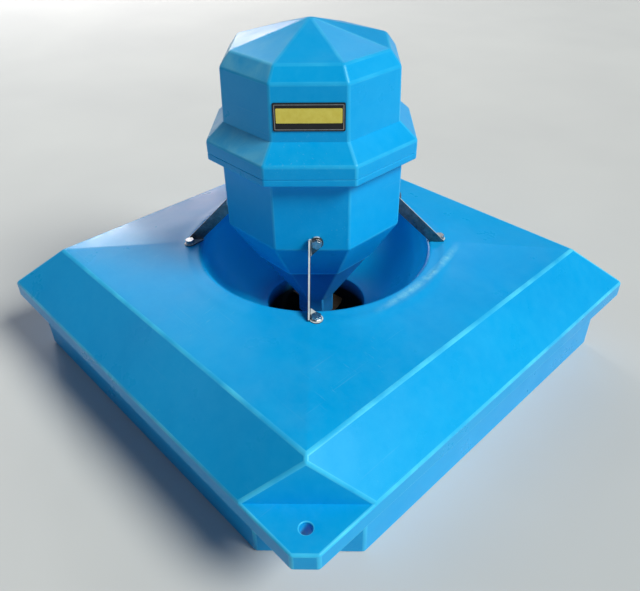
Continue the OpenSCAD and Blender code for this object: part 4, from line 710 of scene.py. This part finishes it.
# Nameplate: black plate, silver line round its edge, yellow panel
PLATE_W, PLATE_H, PLATE_R, PLATE_THICK = 125, 50, 2.5, 1.6
PLATE_EDGE, PLATE_BORDER = 0.28, 3
LINE_W, LINE_H, LINE_WIDTH, LINE_R = 120.2, 45.2, 1.6, 0.9
PANEL_W, PANEL_H, PANEL_UP = 114, 26, 2.5
TRIM_LOW, TRIM_HIGH, TRIM_R = 1.5, 2.1, 1.6
PLATE_UP, PLATE_GAP = 45.02, 0.05
lean = math.atan2(CAP_LOW_HALF - CAP_HIGH_HALF, CAP_HIGH_Z - CAP_LOW_Z)
out_way = Vector((math.cos(FRONT) * math.cos(lean), math.sin(FRONT) * math.cos(lean), math.sin(lean)))
rise = Vector((-math.cos(FRONT) * math.sin(lean), -math.sin(FRONT) * math.sin(lean), math.cos(lean)))
across = rise.cross(out_way)
wall_foot = Vector((CAP_LOW_HALF * math.cos(FRONT), CAP_LOW_HALF * math.sin(FRONT), CAP_LOW_Z))
plate_centre = wall_foot + rise * PLATE_UP + out_way * PLATE_GAP


def plate_outline(w, h, r, count=5):
    points = []
    for sx, sy, start in ((1, 1, 0), (-1, 1, 90), (-1, -1, 180), (1, -1, 270)):
        for i in range(count + 1):
            a = math.radians(start + 90 * i / count)
            points.append((sx * (w / 2 - r) + r * math.cos(a), sy * (h / 2 - r) + r * math.sin(a)))
    return points


def on_plate(points, height, lift=0.0):
    return [plate_centre + across * x + rise * (y + lift) + out_way * height for x, y in points]


def slab(name, w, h, r, low, high, material, lift=0.0, hole=None):
    """A thin plate with rounded corners and edges, and with a hole in it where it is a line."""
    build = Build()
    edge = PLATE_EDGE
    steps = ((0, low), (0, high - edge), (edge * 0.6, high - edge * 0.3), (2 * edge, high))
    outer = [build.loop(on_plate(plate_outline(w - inset, h - inset, r), z, lift)) for inset, z in steps]
    build.skin(outer)
    if hole:
        hw, hh, hr = hole
        inside = [build.loop(on_plate(plate_outline(hw + more, hh + more, hr), z, lift))
                  for more, z in ((edge, high), (0, high - edge), (0, low))]
        build.band(outer[-1], inside[0])
        build.skin(inside)
        build.band(inside[-1], outer[0])
    else:
        inner_w, inner_h = w - 2 * PLATE_BORDER, h - 2 * PLATE_BORDER
        middle = build.loop(on_plate(plate_outline(inner_w, inner_h, max(r - 1, 0.5)), high, lift))
        build.band(outer[-1], middle)
        build.face(middle)
        build.face(outer[0])
    return build.finish(name, [material], "cap", weld=0.000002)


line_hole = (LINE_W - 2 * LINE_WIDTH, LINE_H - 2 * LINE_WIDTH, LINE_R)
plate_base = slab("plate_base", PLATE_W, PLATE_H, PLATE_R, 0, PLATE_THICK, finishes["nameplate_black"])
plate_line = slab("plate_line", LINE_W, LINE_H, TRIM_R, TRIM_LOW, TRIM_HIGH, plate_silver, hole=line_hole)
plate_panel = slab("plate_panel", PANEL_W, PANEL_H, TRIM_R, TRIM_LOW, TRIM_HIGH, plate_yellow, lift=PANEL_UP)
for piece in (plate_base, plate_line, plate_panel):
    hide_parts("nameplate")

# CAD nodes: finish by slot, with small rounded edges where they show. Widths of the rounding are in mm.
rounded = {
    0.5: "terminal_lid terminal_box motor_plate",
    0.45: "arm_front arm_right arm_back arm_left",
    0.4: "cable_gland gland_nut vent_plug intake_guard",
    0.3: "foot_bolts wall_bolts propeller_nut",
    0.25: "wall_nuts flange_bolts flange_nuts plate_bolts plate_nuts",
    0.2: "foot_washers wall_washers",
}
rounding = {name: width for width, names in rounded.items() for name in names.split()}
slot_of = {s["node"]: s["material_slot"] for s in frame["record"]["subparts"]}
arm_turns = {"arm_front": -45, "arm_right": 45, "arm_back": 135, "arm_left": 225}
# Painted highlight: the bars' cut edges and upward faces take a pale matt finish, which looks more like paint
# than like metal
bar_highlight = polymer("bar_edge_highlight", (0.50, 0.56, 0.59), (0.70, 0.76, 0.79), (0.3, 0.45), bump=0.00006,
                   dust=0.3, dust_colour=(0.3, 0.31, 0.3))
BAR_LOW, BAR_HIGH = 306 * MM, 397 * MM
FLAT_ANGLE, ROUND_ANGLE, SPLIT_ANGLE = math.radians(0.6), math.radians(28), math.radians(30)
for name, thing in frame["nodes"].items():
    if name in ("float_shell", "motor_housing", "motor_cap", "nameplate"):
        continue
    data = thing.data
    data.materials.clear()
    data.materials.append(finishes[slot_of[name]])
    if name in arm_turns:
        data.materials.append(bar_highlight)
        side = math.radians(arm_turns[name])
        across_bar = Vector((-math.sin(side), math.cos(side), 0))
        for p in data.polygons:
            narrow = BAR_LOW < p.center.z < BAR_HIGH and abs(p.normal.dot(across_bar)) < 0.5
            if narrow or p.normal.z > 0.9:
                p.material_index = EDGE_SLOT
    if "custom_normal" in data.attributes:
        data.attributes.remove(data.attributes["custom_normal"])
    for p in data.polygons:
        p.use_smooth = True
    join = thing.modifiers.new("join", "WELD")
    join.merge_threshold = JOIN_GAP
    if name in rounding:
        flat = thing.modifiers.new("flat", "DECIMATE")
        flat.decimate_type = "DISSOLVE"
        flat.angle_limit = FLAT_ANGLE
        soft = thing.modifiers.new("soft", "BEVEL")
        soft.limit_method = "ANGLE"
        soft.angle_limit = ROUND_ANGLE
        soft.width = rounding[name] * MM
        soft.segments = 2
        soft.harden_normals = True
    else:
        split = thing.modifiers.new("split", "EDGE_SPLIT")
        split.split_angle = SPLIT_ANGLE

# Floor, a hair below the object's lowest face
FLOOR_HALF, FLOOR_CUTS, FLOOR_Z = 60.0, 24, -0.0004
ground = bmesh.new()
steps = [FLOOR_HALF * (2 * i / FLOOR_CUTS - 1) for i in range(FLOOR_CUTS + 1)]
for x in steps:
    for y in steps:
        ground.verts.new((x, y, FLOOR_Z))
ground.verts.ensure_lookup_table()
row = FLOOR_CUTS + 1
for i in range(FLOOR_CUTS):
    for j in range(FLOOR_CUTS):
        k = i * row + j
        ground.faces.new([ground.verts[n] for n in (k, k + row, k + row + 1, k + 1)])
floor_mesh = bpy.data.meshes.new("floor")
ground.to_mesh(floor_mesh)
ground.free()
g = Graph("pale_floor")
shade = g.mix(g.span(g.noise(1.4, 3, 0.5), 0.3, 0.7), (0.60, 0.61, 0.62), (0.64, 0.65, 0.655))
matt = g.span(g.noise(6, 3, 0.5), 0.3, 0.7, 0.86, 0.94)
floor_mesh.materials.append(g.done(shade, matt, 0.0, Specular_IOR_Level=0.2))
floor = bpy.data.objects.new("floor", floor_mesh)
bpy.context.scene.collection.objects.link(floor)

# Pale backdrop that only the camera sees, so that it adds no light
DOME_R, DOME_COLOUR = 50, (0.74, 0.77, 0.78, 1)
g = Graph("pale_backdrop")
dome_paint = g.done((0, 0, 0), 1.0, Specular_IOR_Level=0, Emission_Color=DOME_COLOUR, Emission_Strength=0.9)
dome_mesh = bpy.data.meshes.new("backdrop")
ball = bmesh.new()
bmesh.ops.create_uvsphere(ball, u_segments=64, v_segments=32, radius=DOME_R)
ball.to_mesh(dome_mesh)
ball.free()
dome_mesh.materials.append(dome_paint)
dome = bpy.data.objects.new("backdrop", dome_mesh)
for way in ("diffuse", "glossy", "transmission", "volume_scatter", "shadow"):
    setattr(dome, "visible_" + way, False)
bpy.context.scene.collection.objects.link(dome)


# Lights: area() moves each light out by FAR and enlarges it in step, so that it looks the same from its aim
FAR = 2.2


def area(name, position, aim, width, height, power, colour):
    data = bpy.data.lights.new(name, "AREA")
    data.shape = "RECTANGLE"
    data.size, data.size_y = width * FAR, height * FAR
    data.energy = power * FAR ** 2
    data.color = colour
    light = bpy.data.objects.new(name, data)
    light.location = Vector(aim) + (Vector(position) - Vector(aim)) * FAR
    light.visible_camera = False
    light.rotation_mode = "QUATERNION"
    light.rotation_quaternion = (Vector(aim) - Vector(position)).to_track_quat("-Z", "Y")
    bpy.context.scene.collection.objects.link(light)


def sun(name, azimuth, height, spread, power, colour):
    data = bpy.data.lights.new(name, "SUN")
    data.angle = math.radians(spread)
    data.energy = power
    data.color = colour
    light = bpy.data.objects.new(name, data)
    a, e = math.radians(azimuth), math.radians(height)
    light.rotation_mode = "QUATERNION"
    towards = Vector((math.cos(a) * math.cos(e), math.sin(a) * math.cos(e), math.sin(e)))
    light.rotation_quaternion = towards.to_track_quat("Z", "Y")
    bpy.context.scene.collection.objects.link(light)


sun("key", 18, 42, 24, 3.45, (1.0, 1.0, 0.91))
area("rear_left", (-3.07, 0.68, 1.55), (-0.3, -0.2, 0.3), 1.0, 0.6, 7, (1.0, 0.98, 0.98))
area("rear_streak", (-3.09, 0.65, 1.03), (-0.4, -0.3, 0.27), 0.24, 0.16, 9, (1.0, 0.99, 0.97))
area("rear_low", (-2.67, 1.37, 0.95), (-0.3, 0, 0.3), 0.7, 0.6, 8, (1.0, 0.86, 0.86))
area("high_left", (-3.1, 0.63, 2.9), (-0.1, -0.2, 0.3), 1.3, 0.9, 11, (0.95, 0.98, 1.0))
area("low_far_left", (-1.77, -1.9, 1.75), (0, -0.15, 0.62), 1.0, 0.9, 4, (0.95, 0.98, 1.0))
area("high_back", (-1.3, 2.6, 2.8), (0.1, 0, 0.7), 1.3, 1.0, 7, (0.93, 0.98, 1.0))
world = bpy.data.worlds.new("studio")
world.use_nodes = True
world.node_tree.nodes["Background"].inputs["Color"].default_value = (0.46, 0.66, 1.0, 1)
world.node_tree.nodes["Background"].inputs["Strength"].default_value = 0.10
bpy.context.scene.world = world
